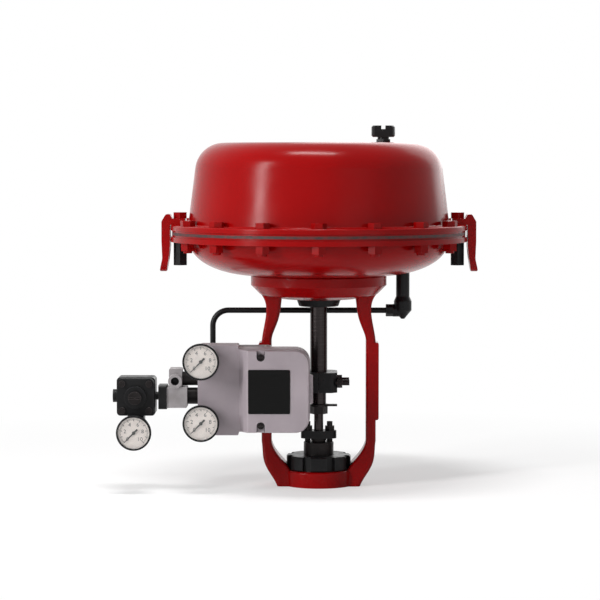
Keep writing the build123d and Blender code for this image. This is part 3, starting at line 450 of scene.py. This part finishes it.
def piece(name, mesh, material, body):
    """Puts a finished mesh in the scene and on its body where it has one."""
    item = bpy.data.objects.new(name, mesh)
    bpy.context.scene.collection.objects.link(item)
    mesh.materials.clear()
    mesh.materials.append(bpy.data.materials[material])
    if body:
        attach(item, body)
    return item


def mesh_of(form, name):
    """Turns a finished bmesh into a mesh with outward normals."""
    bmesh.ops.recalc_face_normals(form, faces=form.faces)
    mesh = bpy.data.meshes.new(name)
    form.to_mesh(mesh)
    form.free()
    return mesh


def frame_of(direction):
    """Turns local +Z to a direction, with local +Y kept as high as it can be."""
    along = Vector(direction).normalized()
    up = Vector((0, 0, 1)) if abs(along.z) < 0.9 else Vector((0, 1, 0))
    side = up.cross(along).normalized()
    return Matrix((side, along.cross(side), along)).transposed().to_4x4()


def plate_form(points, back, front, soft=0.0):
    """Closed plate from an outline seen from the front, with softened front edges."""
    form = bmesh.new()
    corners = [form.verts.new((x, back, z)) for x, z in points]
    face = form.faces.new(corners)
    grown = bmesh.ops.extrude_face_region(form, geom=[face])
    moved = [v for v in grown["geom"] if isinstance(v, bmesh.types.BMVert)]
    bmesh.ops.translate(form, verts=moved, vec=(0, front - back, 0))
    if soft:
        rim = [e for e in form.edges if all(abs(v.co.y - front) < 1e-7 for v in e.verts)]
        bmesh.ops.bevel(form, geom=rim, offset=soft, segments=2, affect="EDGES")
    return form


def rounded_points(left, right, low, high, corner, steps=6):
    """Outline of a rectangle with round corners, as x and z."""
    points = []
    middles = (
        (right - corner, high - corner, 0), (left + corner, high - corner, 90),
        (left + corner, low + corner, 180), (right - corner, low + corner, 270),
    )
    for x, z, start in middles:
        for step in range(steps + 1):
            angle = math.radians(start + 90 * step / steps)
            points.append((x + corner * math.cos(angle), z + corner * math.sin(angle)))
    return points


def swept_mesh(name, loops, ring=False):
    """Skin over loops of points of one count, capped at both ends or closed to a ring."""
    form = bmesh.new()
    rings = [[form.verts.new(point) for point in loop] for loop in loops[:len(loops) - ring]]
    if ring:
        rings.append(rings[0])
    for near, far in zip(rings, rings[1:]):
        for step in range(len(near)):
            after = (step + 1) % len(near)
            form.faces.new((near[step], near[after], far[after], far[step]))
    if not ring:
        form.faces.new(rings[0][::-1])
        form.faces.new(rings[-1])
    return mesh_of(form, name)


def thread_mesh(name, start, direction, radius, length, pitch):
    """Cut thread round a bar: a fine helical ridge from its start along its direction."""
    rows = int(length / pitch * THREAD_ROWS)
    depth = pitch * THREAD_DEPTH
    turn = frame_of(direction)
    form = bmesh.new()
    grid = []
    for row in range(rows + 1):
        line = []
        for step in range(THREAD_SIDES):
            angle = 2 * math.pi * step / THREAD_SIDES
            phase = (row / THREAD_ROWS - step / THREAD_SIDES) % 1.0
            cut = depth * (1 - abs(2 * phase - 1)) * min(1, row, rows - row)
            spot = Vector(round_point(radius + THREAD_PROUD - cut, angle, length * row / rows))
            line.append(form.verts.new(Vector(start) + turn @ spot))
        grid.append(line)
    for row in range(rows):
        for step in range(THREAD_SIDES):
            after = (step + 1) % THREAD_SIDES
            form.faces.new((grid[row][step], grid[row][after], grid[row + 1][after], grid[row + 1][step]))
    form.faces.new(grid[0][::-1])
    form.faces.new(grid[-1])
    return mesh_of(form, name)


# Finish of each piece of the fixed model

FINISHES = (
    casing_red, yoke_red, fitting_black, screw_black, stem_steel, screw_zinc, shaft_steel, housing_grey,
    manifold_cast, turned_brass, diaphragm_rubber, packing_white, spring_wire, dial_print,
    black_print, clear_window, plate_black,
)
NODE_FINISH = {
    "casing_red": ("upper_casing", "lower_casing", "casing_bolts", "casing_nuts", "lug_bolts"),
    "yoke_red": ("yoke", "lifting_lug_left", "lifting_lug_right"),
    "fitting_black": (
        "lug_nuts", "vent_plug", "stem_bushing", "yoke_nut", "packing_flange", "gauge_lower_case",
        "gauge_upper_case", "gauge_regulator_case", "air_tube", "casing_elbow", "regulator_body",
        "regulator_bonnet", "stem_clamp_left", "stem_clamp_right", "tube_connector",
    ),
    "screw_black": (
        "packing_box", "packing_studs", "packing_follower", "packing_nuts", "manifold_nipples",
        "lock_nut", "travel_pointer", "cover_screws", "bonnet_screws", "adjusting_screw",
        "clamp_bolts",
    ),
    "screw_zinc": (
        "yoke_screws", "plate_washer", "stem_nut", "bracket_bolts", "hinge_pin", "feedback_lever",
        "take_off_pin", "diaphragm_plate",
    ),
    "stem_steel": ("actuator_stem", "plug_stem"),
    "shaft_steel": ("feedback_shaft",),
    "housing_grey": ("positioner_housing", "positioner_cover"),
    "manifold_cast": ("positioner_bracket", "air_manifold", "positioner_cam"),
    "turned_brass": ("pilot_relay",),
    "diaphragm_rubber": ("diaphragm", "stem_seal"),
    "packing_white": ("packing_rings",),
    "spring_wire": ("range_springs",),
    "dial_print": ("gauge_dials",),
    "clear_window": ("gauge_lenses",),
    "black_print": ("gauge_lower_needle", "gauge_upper_needle", "gauge_regulator_needle"),
}
GAUGES = ("gauge_lower", "gauge_upper", "gauge_regulator")
SMOOTH_ANGLE = math.radians(32)


class ACTUATOR_OT_finishes(bpy.types.Operator):
    """Makes every finish and gives it to the pieces of the fixed model"""

    bl_idname = "actuator.finishes"
    bl_label = "Finishes"

    def execute(self, context):
        for make in FINISHES:
            make()
        for finish, nodes in NODE_FINISH.items():
            for node in nodes:
                mesh = frame["nodes"][node].data
                mesh.materials.clear()
                mesh.materials.append(bpy.data.materials[finish])
                mesh.shade_smooth()
                mesh.set_sharp_from_angle(angle=SMOOTH_ANGLE)
        return {"FINISHED"}


# Dials

DIAL_DEPTH = 0.0044
DIAL_REBATE = 0.0025
PRINT_DEPTH = 0.00004
STROKE_OUTER = 0.91
LONG_STROKE = (0.75, 0.0008)
SHORT_STROKE = (0.82, 0.0004)
STROKES_PER_STEP = 5
FIGURE_CIRCLE = 0.57
FIGURE_SIZE = 0.34


def dial_face(name):
    """Middle of a gauge, the front of its dial and the dial's radius, from its case."""
    low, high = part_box(name + "_case")
    radius = (high.x - low.x) / 2
    middle = (low + high) / 2
    return Vector((middle.x, low.y + DIAL_DEPTH, middle.z)), radius - DIAL_REBATE


def add_figure(form, text, size, spot):
    """Adds a raised figure, seen from the front, to a bmesh."""
    curve = bpy.data.curves.new("figure", "FONT")
    curve.body = text
    curve.size = size
    curve.align_x = "CENTER"
    curve.align_y = "CENTER"
    curve.extrude = PRINT_DEPTH
    curve.resolution_u = 3
    item = bpy.data.objects.new("figure", curve)
    mesh = bpy.data.meshes.new_from_object(item)
    mesh.transform(Matrix.Translation(spot) @ Matrix.Rotation(math.radians(90), 4, "X"))
    form.from_mesh(mesh)
    bpy.data.objects.remove(item)
    bpy.data.curves.remove(curve)
    bpy.data.meshes.remove(mesh)


def add_stroke(form, centre, angle, inner, outer, width):
    """Adds a printed stroke that points away from the centre of a dial."""
    out = Vector((math.sin(angle), 0, math.cos(angle)))
    side = Vector((out.z, 0, -out.x)) * width / 2
    front = Vector((0, -PRINT_DEPTH, 0))
    corners = [centre + out * inner - side, centre + out * inner + side,
               centre + out * outer + side, centre + out * outer - side]
    ring = [form.verts.new(c + front) for c in corners] + [form.verts.new(c) for c in corners]
    form.faces.new(ring[:4])
    form.faces.new(ring[:3:-1])
    for step in range(4):
        after = (step + 1) % 4
        form.faces.new((ring[step], ring[after], ring[4 + after], ring[4 + step]))


class ACTUATOR_OT_dials(bpy.types.Operator):
    """Prints the strokes and the plain numbers on the three dials"""

    bl_idname = "actuator.dials"
    bl_label = "Dials"

    def execute(self, context):
        chosen = context.scene.actuator_instrument
        steps, sweep = chosen.dial_steps, chosen.dial_sweep
        for name in GAUGES:
            centre, radius = dial_face(name)
            form = bmesh.new()
            for stroke in range(steps * STROKES_PER_STEP + 1):
                angle = sweep * (stroke / (steps * STROKES_PER_STEP) - 0.5)
                inner, width = SHORT_STROKE if stroke % STROKES_PER_STEP else LONG_STROKE
                add_stroke(form, centre, angle, radius * inner, radius * STROKE_OUTER, width)
            for step in range(0, steps + 1, 2):
                angle = sweep * (step / steps - 0.5)
                spot = centre + Vector((math.sin(angle), 0, math.cos(angle))) * radius * FIGURE_CIRCLE
                add_figure(form, str(step), radius * FIGURE_SIZE, spot)
            print_mesh = mesh_of(form, name + "_print")
            piece(name + "_print", print_mesh, "black_print", "frame")
        return {"FINISHED"}


# Plate, and dark liners that paint the shade in the screw notches of the positioner's cover

PLATE_INSET = 0.0130
PLATE_CORNER = 0.0018
PLATE_SOFT = 0.0002
SCREW_HEAD = 0.0045
# Liners: thin black sheets on the notch walls that paint the shade of the notches
SHADE_LINER_INNER = 0.00482
SHADE_LINER_OUTER = 0.00545
SHADE_LINER_END = 0.0008
SHADE_LINER_FRONT = 0.0003
SHADE_LINER_BACK = 0.0049
SHADE_LINER_SOFT = 0.0001


class ACTUATOR_OT_cover_plate(bpy.types.Operator):
    """Makes the bare black plate on the positioner's cover"""

    bl_idname = "actuator.cover_plate"
    bl_label = "Cover plate"

    def execute(self, context):
        chosen = context.scene.actuator_instrument
        low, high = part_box("positioner_cover")
        front = low.y
        left = low.x + PLATE_INSET
        middle = (low.z + high.z) / 2
        half = chosen.plate_height / 2
        right = left + chosen.plate_width
        points = rounded_points(left, right, middle - half, middle + half, PLATE_CORNER)
        form = plate_form(points, front, front - chosen.plate_thickness, PLATE_SOFT)
        piece("cover_plate", mesh_of(form, "cover_plate"), "plate_black", "cover")
        return {"FINISHED"}


class ACTUATOR_OT_screw_liners(bpy.types.Operator):
    """Makes the two black liners round the heads of the cover screws, thin sheets of painted shade on the
    notch walls
    """

    bl_idname = "actuator.screw_liners"
    bl_label = "Shade liners"

    def execute(self, context):
        low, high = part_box("cover_screws")
        cover_low, cover_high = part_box("positioner_cover")
        x = (low.x + high.x) / 2
        for name, z, edge in (
            ("shade_liner_low", low.z + SCREW_HEAD, cover_low.z + SHADE_LINER_END),
            ("shade_liner_high", high.z - SCREW_HEAD, cover_high.z - SHADE_LINER_END),
        ):
            way = 1 if edge > z else -1
            points = [(x - SHADE_LINER_OUTER, edge), (x - SHADE_LINER_INNER, edge)]
            points += arc_points(x, z, SHADE_LINER_INNER, way)
            points += [(x + SHADE_LINER_INNER, edge), (x + SHADE_LINER_OUTER, edge)]
            points += arc_points(x, z, SHADE_LINER_OUTER, way)[::-1]
            form = plate_form(points, cover_low.y + SHADE_LINER_BACK, cover_low.y + SHADE_LINER_FRONT, SHADE_LINER_SOFT)
            # The black finish of these liners is painted shade of the notch walls
            piece(name, mesh_of(form, name), "fitting_black", "cover")
        return {"FINISHED"}


def arc_points(x, z, radius, way, steps=14):
    """Half a circle from its left end to its right end, round the side away from the edge."""
    angles = [math.pi * step / steps for step in range(steps + 1)]
    return [(x - radius * math.cos(a), z - way * radius * math.sin(a)) for a in angles]


# Threads in the open ports

PORTS = ("signal_port", "supply_port")
PORT_SKIN = 0.00006
PORT_LIP = 0.0002
PORT_LIP_DEPTH = 0.0006
PORT_FIRST_RIDGE = 0.0008
PORT_CREST = 0.0003
PORT_ROOT = 0.0009
PORT_FLOOR = 0.0003
PORT_MIDDLE = 0.0001
PORT_PITCH = 0.0013
PORT_SIDES = 32
PORT_CUT_SHARE = 0.9


class ACTUATOR_OT_port_threads(bpy.types.Operator):
    """Lines the two open ports with threads in black, which paints the shade inside the holes"""

    bl_idname = "actuator.port_threads"
    bl_label = "Port threads"

    def execute(self, context):
        for port in frame["record"]["mounts"]:
            if port["name"] in PORTS:
                name = port["name"] + "_thread"
                radius = port["dims"]["r_mm"] * MM
                depth = port["dims"]["length_mm"] * MM
                mesh = port_mesh(name, port["pos_m"], port["axis"], radius, depth)
                # The black finish of the port threads is painted shade of the hollow ports
                piece(name, mesh, "fitting_black", "frame")
        return {"FINISHED"}


def port_mesh(name, mouth, axis, radius, depth):
    """Threaded cup that lines a port, from its floor to just inside its mouth."""
    turn = frame_of(axis)
    outer = radius - PORT_SKIN
    wall = [(outer, -PORT_LIP_DEPTH), (outer - PORT_LIP, -PORT_LIP_DEPTH)]
    for ridge in range(int(depth * PORT_CUT_SHARE / PORT_PITCH)):
        top = -PORT_FIRST_RIDGE - ridge * PORT_PITCH
        wall += [(radius - PORT_CREST, top), (radius - PORT_ROOT, top - PORT_PITCH / 2)]
    high, low = -depth + PORT_FLOOR, -depth + PORT_SKIN
    wall += [(radius - PORT_CREST, high), (PORT_MIDDLE, high), (PORT_MIDDLE, low), (outer, low)]
    loops = []
    for step in range(PORT_SIDES + 1):
        angle = 2 * math.pi * step / PORT_SIDES
        loops.append([Vector(mouth) + turn @ Vector(round_point(r, angle, z)) for r, z in wall])
    return swept_mesh(name, loops, ring=True)


# Diaphragm

BOLTS = 16
BOLT_CIRCLE = 0.194
BOLT_HOLE = 0.0065
STEM_HOLE = 0.0081
DIAPHRAGM_EDGE = 0.004
FOLDS = 16
FOLD_HALF_SLICES = 3
FOLD_END = 0.172
FOLD_STEPS = 10
FOLD_BULGE = 0.3
FOLD_SHIFT = 0.002
EDGE_SIDES = 96
HOLE_SIDES = 20


def fold_profile():
    """Section of the diaphragm from the stem to its clamped edge, as radius and height."""
    low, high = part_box("diaphragm")
    plate_low, plate_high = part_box("diaphragm_plate")
    wall = plate_low.z - low.z
    ring_low = high.z - DIAPHRAGM_EDGE
    start = plate_high.x + wall
    under = [(STEM_HOLE, low.z), (start * 0.5, low.z)]
    over = [(STEM_HOLE, plate_low.z), (start * 0.5, plate_low.z)]
    for step in range(FOLD_STEPS + 1):
        way = step / FOLD_STEPS
        rise = (1 - FOLD_BULGE) * way + FOLD_BULGE * way * way * (3 - 2 * way)
        out = (FOLD_END - start) * way
        back = FOLD_SHIFT * (1 - way)
        under.append((start + out, low.z + (ring_low - low.z) * rise))
        over.append((start + out - back, plate_low.z + (high.z - plate_low.z) * rise))
    return under + over[::-1], start


class ACTUATOR_OT_diaphragm(bpy.types.Operator):
    """Makes the rubber diaphragm in folds, and its clamped edge"""

    bl_idname = "actuator.diaphragm"
    bl_label = "Diaphragm"

    def execute(self, context):
        profile, start = fold_profile()
        for fold in range(FOLDS):
            middle = 2 * math.pi * fold / FOLDS
            loops = []
            for step in range(-FOLD_HALF_SLICES, FOLD_HALF_SLICES + 1):
                angle = middle + math.pi / FOLDS * step / FOLD_HALF_SLICES
                loops.append([round_point(r, angle, z) for r, z in profile])
            name = f"diaphragm_fold_{fold + 1}"
            item = piece(name, swept_mesh(name, loops), "diaphragm_rubber", None)
            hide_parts("diaphragm")
            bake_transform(item)
        item = piece("diaphragm_edge", edge_mesh(), "diaphragm_rubber", "frame")
        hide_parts("diaphragm")
        return {"FINISHED"}


def edge_mesh():
    """Flat clamped edge of the diaphragm with its bolt holes."""
    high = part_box("diaphragm")[1]
    curve = bpy.data.curves.new("diaphragm_edge", "CURVE")
    curve.dimensions = "2D"
    curve.fill_mode = "BOTH"
    curve.extrude = DIAPHRAGM_EDGE / 2
    rounds = [((0.0, 0.0), high.x, EDGE_SIDES), ((0.0, 0.0), FOLD_END, EDGE_SIDES)]
    for step in range(BOLTS):
        angle = 2 * math.pi * step / BOLTS
        rounds.append((round_point(BOLT_CIRCLE, angle), BOLT_HOLE, HOLE_SIDES))
    for centre, radius, count in rounds:
        spline = curve.splines.new("POLY")
        spline.points.add(count - 1)
        spline.use_cyclic_u = True
        for index, point in enumerate(spline.points):
            angle = 2 * math.pi * index / count
            point.co = (*round_point(radius, angle, 0.0, centre), 1.0)
    item = bpy.data.objects.new("diaphragm_edge_curve", curve)
    mesh = bpy.data.meshes.new_from_object(item)
    mesh.transform(Matrix.Translation((0, 0, high.z - DIAPHRAGM_EDGE / 2)))
    bpy.data.objects.remove(item)
    bpy.data.curves.remove(curve)
    return mesh


# Range springs

SPRING_RADIUS = 0.027
SPRING_WIRE = 0.006
SPRING_TURNS = 4
TURN_STEPS = 28
WIRE_SIDES = 10
GROUND_OFF = 0.0018


class ACTUATOR_OT_springs(bpy.types.Operator):
    """Winds the range springs"""

    bl_idname = "actuator.springs"
    bl_label = "Range springs"

    def execute(self, context):
        low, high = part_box("range_springs")
        reach = high.x - SPRING_RADIUS
        for number, (way_x, way_y) in enumerate(((1, 1), (-1, 1), (-1, -1), (1, -1))):
            x, y = way_x * reach, way_y * reach
            name = f"range_spring_{number + 1}"
            item = piece(name, coil_mesh(name, x, y, low.z, high.z), "spring_wire", "frame")
            item.data.shade_smooth()
            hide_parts("range_springs")
            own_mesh(item)
        return {"FINISHED"}


def coil_mesh(name, x, y, low, high):
    """Closed and ground coil spring of round wire."""
    wire = SPRING_WIRE / 2
    middle = SPRING_RADIUS - wire
    turns = SPRING_TURNS + 2
    pitch = (high - low - SPRING_WIRE * 2 - 2 * GROUND_OFF) / SPRING_TURNS
    loops = []
    for step in range(turns * TURN_STEPS + 1):
        turn = step / TURN_STEPS
        rise = GROUND_OFF + SPRING_WIRE * min(turn, 1) + SPRING_WIRE * max(0, turn - turns + 1)
        rise += pitch * min(max(0, turn - 1), SPRING_TURNS)
        angle = 2 * math.pi * turn
        loop = []
        for part in range(WIRE_SIDES):
            lean = 2 * math.pi * part / WIRE_SIDES
            radius = middle + wire * math.cos(lean)
            height = min(high, max(low, low + rise + wire * math.sin(lean)))
            loop.append(round_point(radius, angle, height, (x, y)))
        loops.append(loop)
    return swept_mesh(name, loops)


# Threads on studs and bolts

FINE_PITCH = 0.00125
COARSE_PITCH = 0.00175
CLAMP_NUT = 0.007
CLAMP_BOLT_PLACES = (-0.0175, 0.0175)
CLAMP_BOLT_RADIUS = 0.004
CASING_BOLT_RADIUS = 0.006


def stud_ends():
    """Every bar end that shows its thread: name, start, direction, radius, length, pitch, body."""
    low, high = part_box("packing_studs")
    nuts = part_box("packing_nuts")[1].z
    radius = (high.y - low.y) / 2
    for x in (low.x + radius, high.x - radius):
        yield "packing_thread", (x, 0, nuts), (0, 0, 1), radius, high.z - nuts, FINE_PITCH, "frame"
    low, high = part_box("clamp_bolts")
    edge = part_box("stem_clamp_right")[1].x + CLAMP_NUT
    middle = (low.z + high.z) / 2
    for y in CLAMP_BOLT_PLACES:
        length = high.x - edge
        yield "clamp_thread", (edge, y, middle), (1, 0, 0), CLAMP_BOLT_RADIUS, length, FINE_PITCH, "stem"
    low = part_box("casing_bolts")[0].z
    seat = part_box("casing_nuts")[0].z
    for step in range(BOLTS):
        if step % (BOLTS // 2):
            angle = 2 * math.pi * step / BOLTS
            spot = round_point(BOLT_CIRCLE, angle, seat)
            length = seat - low
            yield "casing_thread", spot, (0, 0, -1), CASING_BOLT_RADIUS, length, COARSE_PITCH, "frame"


class ACTUATOR_OT_threads(bpy.types.Operator):
    """Cuts threads on the free ends of studs and bolts"""

    bl_idname = "actuator.threads"
    bl_label = "Threads"

    def execute(self, context):
        for number, (name, start, direction, radius, length, pitch, body) in enumerate(stud_ends()):
            label = f"{name}_{number}"
            mesh = thread_mesh(label, start, direction, radius, length, pitch)
            piece(label, mesh, "screw_black", body)
        return {"FINISHED"}


# Studio

AIM = (0, 0, 0.27)
TOP_SHARE = 0.5
BACK_SHARE = 0.6
WORLD_LIGHT = 0.16
SENSOR_WIDTH = 36.0
CAMERA_DOWN = math.radians(3.55)
CAMERA_LEFT = math.radians(0.47)
FLOOR_REACH = 12.0
SHADOW_REACH = 0.25
WHITE_REACH = 0.95
WHITE_NEAR = 0.45


def pale_finish():
    """Pale floor that keeps the shadow near the object and runs out to plain white."""
    tone = tuple(bpy.context.scene.actuator_studio.floor_tone)
    bench = Bench("pale_paper")
    fibre = bench.ramp(bench.noise(3.0), 0.3, 0.7)
    bench.set(base_color=bench.mix(fibre, shade(tone, 0.99), tone), roughness=0.9)
    white = bench.add("ShaderNodeEmission")
    bench.feed(white, "Color", (1.0, 1.0, 1.0, 1.0))
    reach = bench.add("ShaderNodeVectorMath", operation="LENGTH")
    bench.tree.links.new(bench.place, reach.inputs[0])
    far = bench.ramp(reach.outputs["Value"], SHADOW_REACH, WHITE_REACH, WHITE_NEAR, 1.0)
    seen = bench.add("ShaderNodeMath", operation="MULTIPLY")
    bench.tree.links.new(far, seen.inputs[0])
    bench.tree.links.new(background_rays(bench.tree), seen.inputs[1])
    blend = bench.add("ShaderNodeMixShader")
    bench.tree.links.new(seen.outputs[0], blend.inputs[0])
    bench.tree.links.new(bench.shader.outputs[0], blend.inputs[1])
    bench.tree.links.new(white.outputs[0], blend.inputs[2])
    bench.tree.links.new(blend.outputs[0], bench.tree.nodes["Material Output"].inputs["Surface"])
    return bench.material


def background_rays(tree):
    """One for the rays that show the background: straight, mirrored and through glass."""
    path = tree.nodes.new("ShaderNodeLightPath")
    total = path.outputs["Is Camera Ray"]
    for name in ("Is Glossy Ray", "Is Transmission Ray"):
        join = tree.nodes.new("ShaderNodeMath")
        join.operation = "MAXIMUM"
        tree.links.new(total, join.inputs[0])
        tree.links.new(path.outputs[name], join.inputs[1])
        total = join.outputs[0]
    return total


def area_lamp(name, spot, size, power):
    """Soft rectangular lamp that faces the middle of the object."""
    data = bpy.data.lights.new(name, "AREA")
    data.shape = "RECTANGLE"
    data.size, data.size_y = size
    data.energy = power
    lamp = bpy.data.objects.new(name, data)
    lamp.location = spot
    lamp.rotation_mode = "QUATERNION"
    lamp.rotation_quaternion = (Vector(AIM) - Vector(spot)).to_track_quat("-Z", "Y")
    bpy.context.scene.collection.objects.link(lamp)


def floor():
    """Wide round floor under the object."""
    form = bmesh.new()
    bmesh.ops.create_circle(form, cap_ends=True, segments=96, radius=FLOOR_REACH)
    mesh = bpy.data.meshes.new("floor")
    form.to_mesh(mesh)
    form.free()
    item = bpy.data.objects.new("floor", mesh)
    bpy.context.scene.collection.objects.link(item)
    mesh.materials.append(bpy.data.materials["pale_paper"])


def pale_world():
    """Even light all round, seen as plain white behind the object."""
    world = bpy.data.worlds.new("studio")
    world.use_nodes = True
    tree = world.node_tree
    back = tree.nodes["Background"]
    back.inputs["Color"].default_value = (1.0, 1.0, 1.0, 1.0)
    strength = tree.nodes.new("ShaderNodeMapRange")
    for socket, value in (("From Min", 0.0), ("From Max", 1.0), ("To Min", WORLD_LIGHT), ("To Max", 1.0)):
        strength.inputs[socket].default_value = value
    tree.links.new(background_rays(tree), strength.inputs["Value"])
    tree.links.new(strength.outputs["Result"], back.inputs["Strength"])
    return world


def photo_camera(chosen):
    """Camera level with the top of the cap, turned down to the middle of the object."""
    data = bpy.data.cameras.new("photo_camera")
    data.sensor_width = SENSOR_WIDTH
    data.lens = chosen.lens
    camera = bpy.data.objects.new("photo_camera", data)
    camera.location = (0.0, -chosen.camera_distance, chosen.camera_height)
    camera.rotation_euler = (math.radians(90) - CAMERA_DOWN, 0.0, CAMERA_LEFT)
    return camera


class ACTUATOR_OT_stage(bpy.types.Operator):
    """Sets the pale floor, the soft lamps and the camera"""

    bl_idname = "actuator.stage"
    bl_label = "Studio"

    def execute(self, context):
        scene = context.scene
        chosen = scene.actuator_studio
        pale_finish()
        floor()
        key, fill = chosen.key_power, chosen.fill_power
        area_lamp("key_lamp", (-2.1, -1.6, 1.2), (0.34, 1.7), key)
        area_lamp("fill_lamp", (1.6, -2.6, 0.5), (1.6, 1.2), fill)
        area_lamp("top_lamp", (-0.1, -0.5, 2.2), (0.85, 0.3), key * TOP_SHARE)
        area_lamp("back_lamp", (1.3, 2.6, 1.6), (3.0, 2.4), key * BACK_SHARE)
        scene.world = pale_world()
        scene.camera = photo_camera(chosen)
        scene.collection.objects.link(scene.camera)
        scene.view_settings.view_transform = "Standard"
        return {"FINISHED"}


class ACTUATOR_PT_panel(bpy.types.Panel):
    """Lists the steps and the sizes and colours that they use"""

    bl_idname = "ACTUATOR_PT_panel"
    bl_label = "Diaphragm actuator"
    bl_space_type = "VIEW_3D"
    bl_region_type = "UI"
    bl_category = "Actuator"

    def draw(self, context):
        layout = self.layout
        for settings in SETTINGS:
            group = getattr(context.scene, settings)
            box = layout.box()
            for key in group.bl_rna.properties.keys():
                if key not in ("name", "rna_type"):
                    box.prop(group, key)
        for step in STEPS:
            layout.operator(step.bl_idname)


SETTINGS = {
    "actuator_casing": CasingSettings,
    "actuator_instrument": InstrumentSettings,
    "actuator_studio": StudioSettings,
}
STEPS = (
    ACTUATOR_OT_stage,
    ACTUATOR_OT_finishes,
    ACTUATOR_OT_dials,
    ACTUATOR_OT_cover_plate,
    ACTUATOR_OT_screw_liners,
    ACTUATOR_OT_port_threads,
    ACTUATOR_OT_diaphragm,
    ACTUATOR_OT_springs,
    ACTUATOR_OT_threads,
)


def register():
    for kind in (*SETTINGS.values(), *STEPS, ACTUATOR_PT_panel):
        bpy.utils.register_class(kind)
    for name, kind in SETTINGS.items():
        setattr(bpy.types.Scene, name, PointerProperty(type=kind))


def unregister():
    for name in SETTINGS:
        delattr(bpy.types.Scene, name)
    for kind in (ACTUATOR_PT_panel, *reversed(STEPS), *SETTINGS.values()):
        bpy.utils.unregister_class(kind)


def main():
    register()
    for step in STEPS:
        group, name = step.bl_idname.split(".")
        getattr(getattr(bpy.ops, group), name)()


if __name__ == "__main__":
    main()
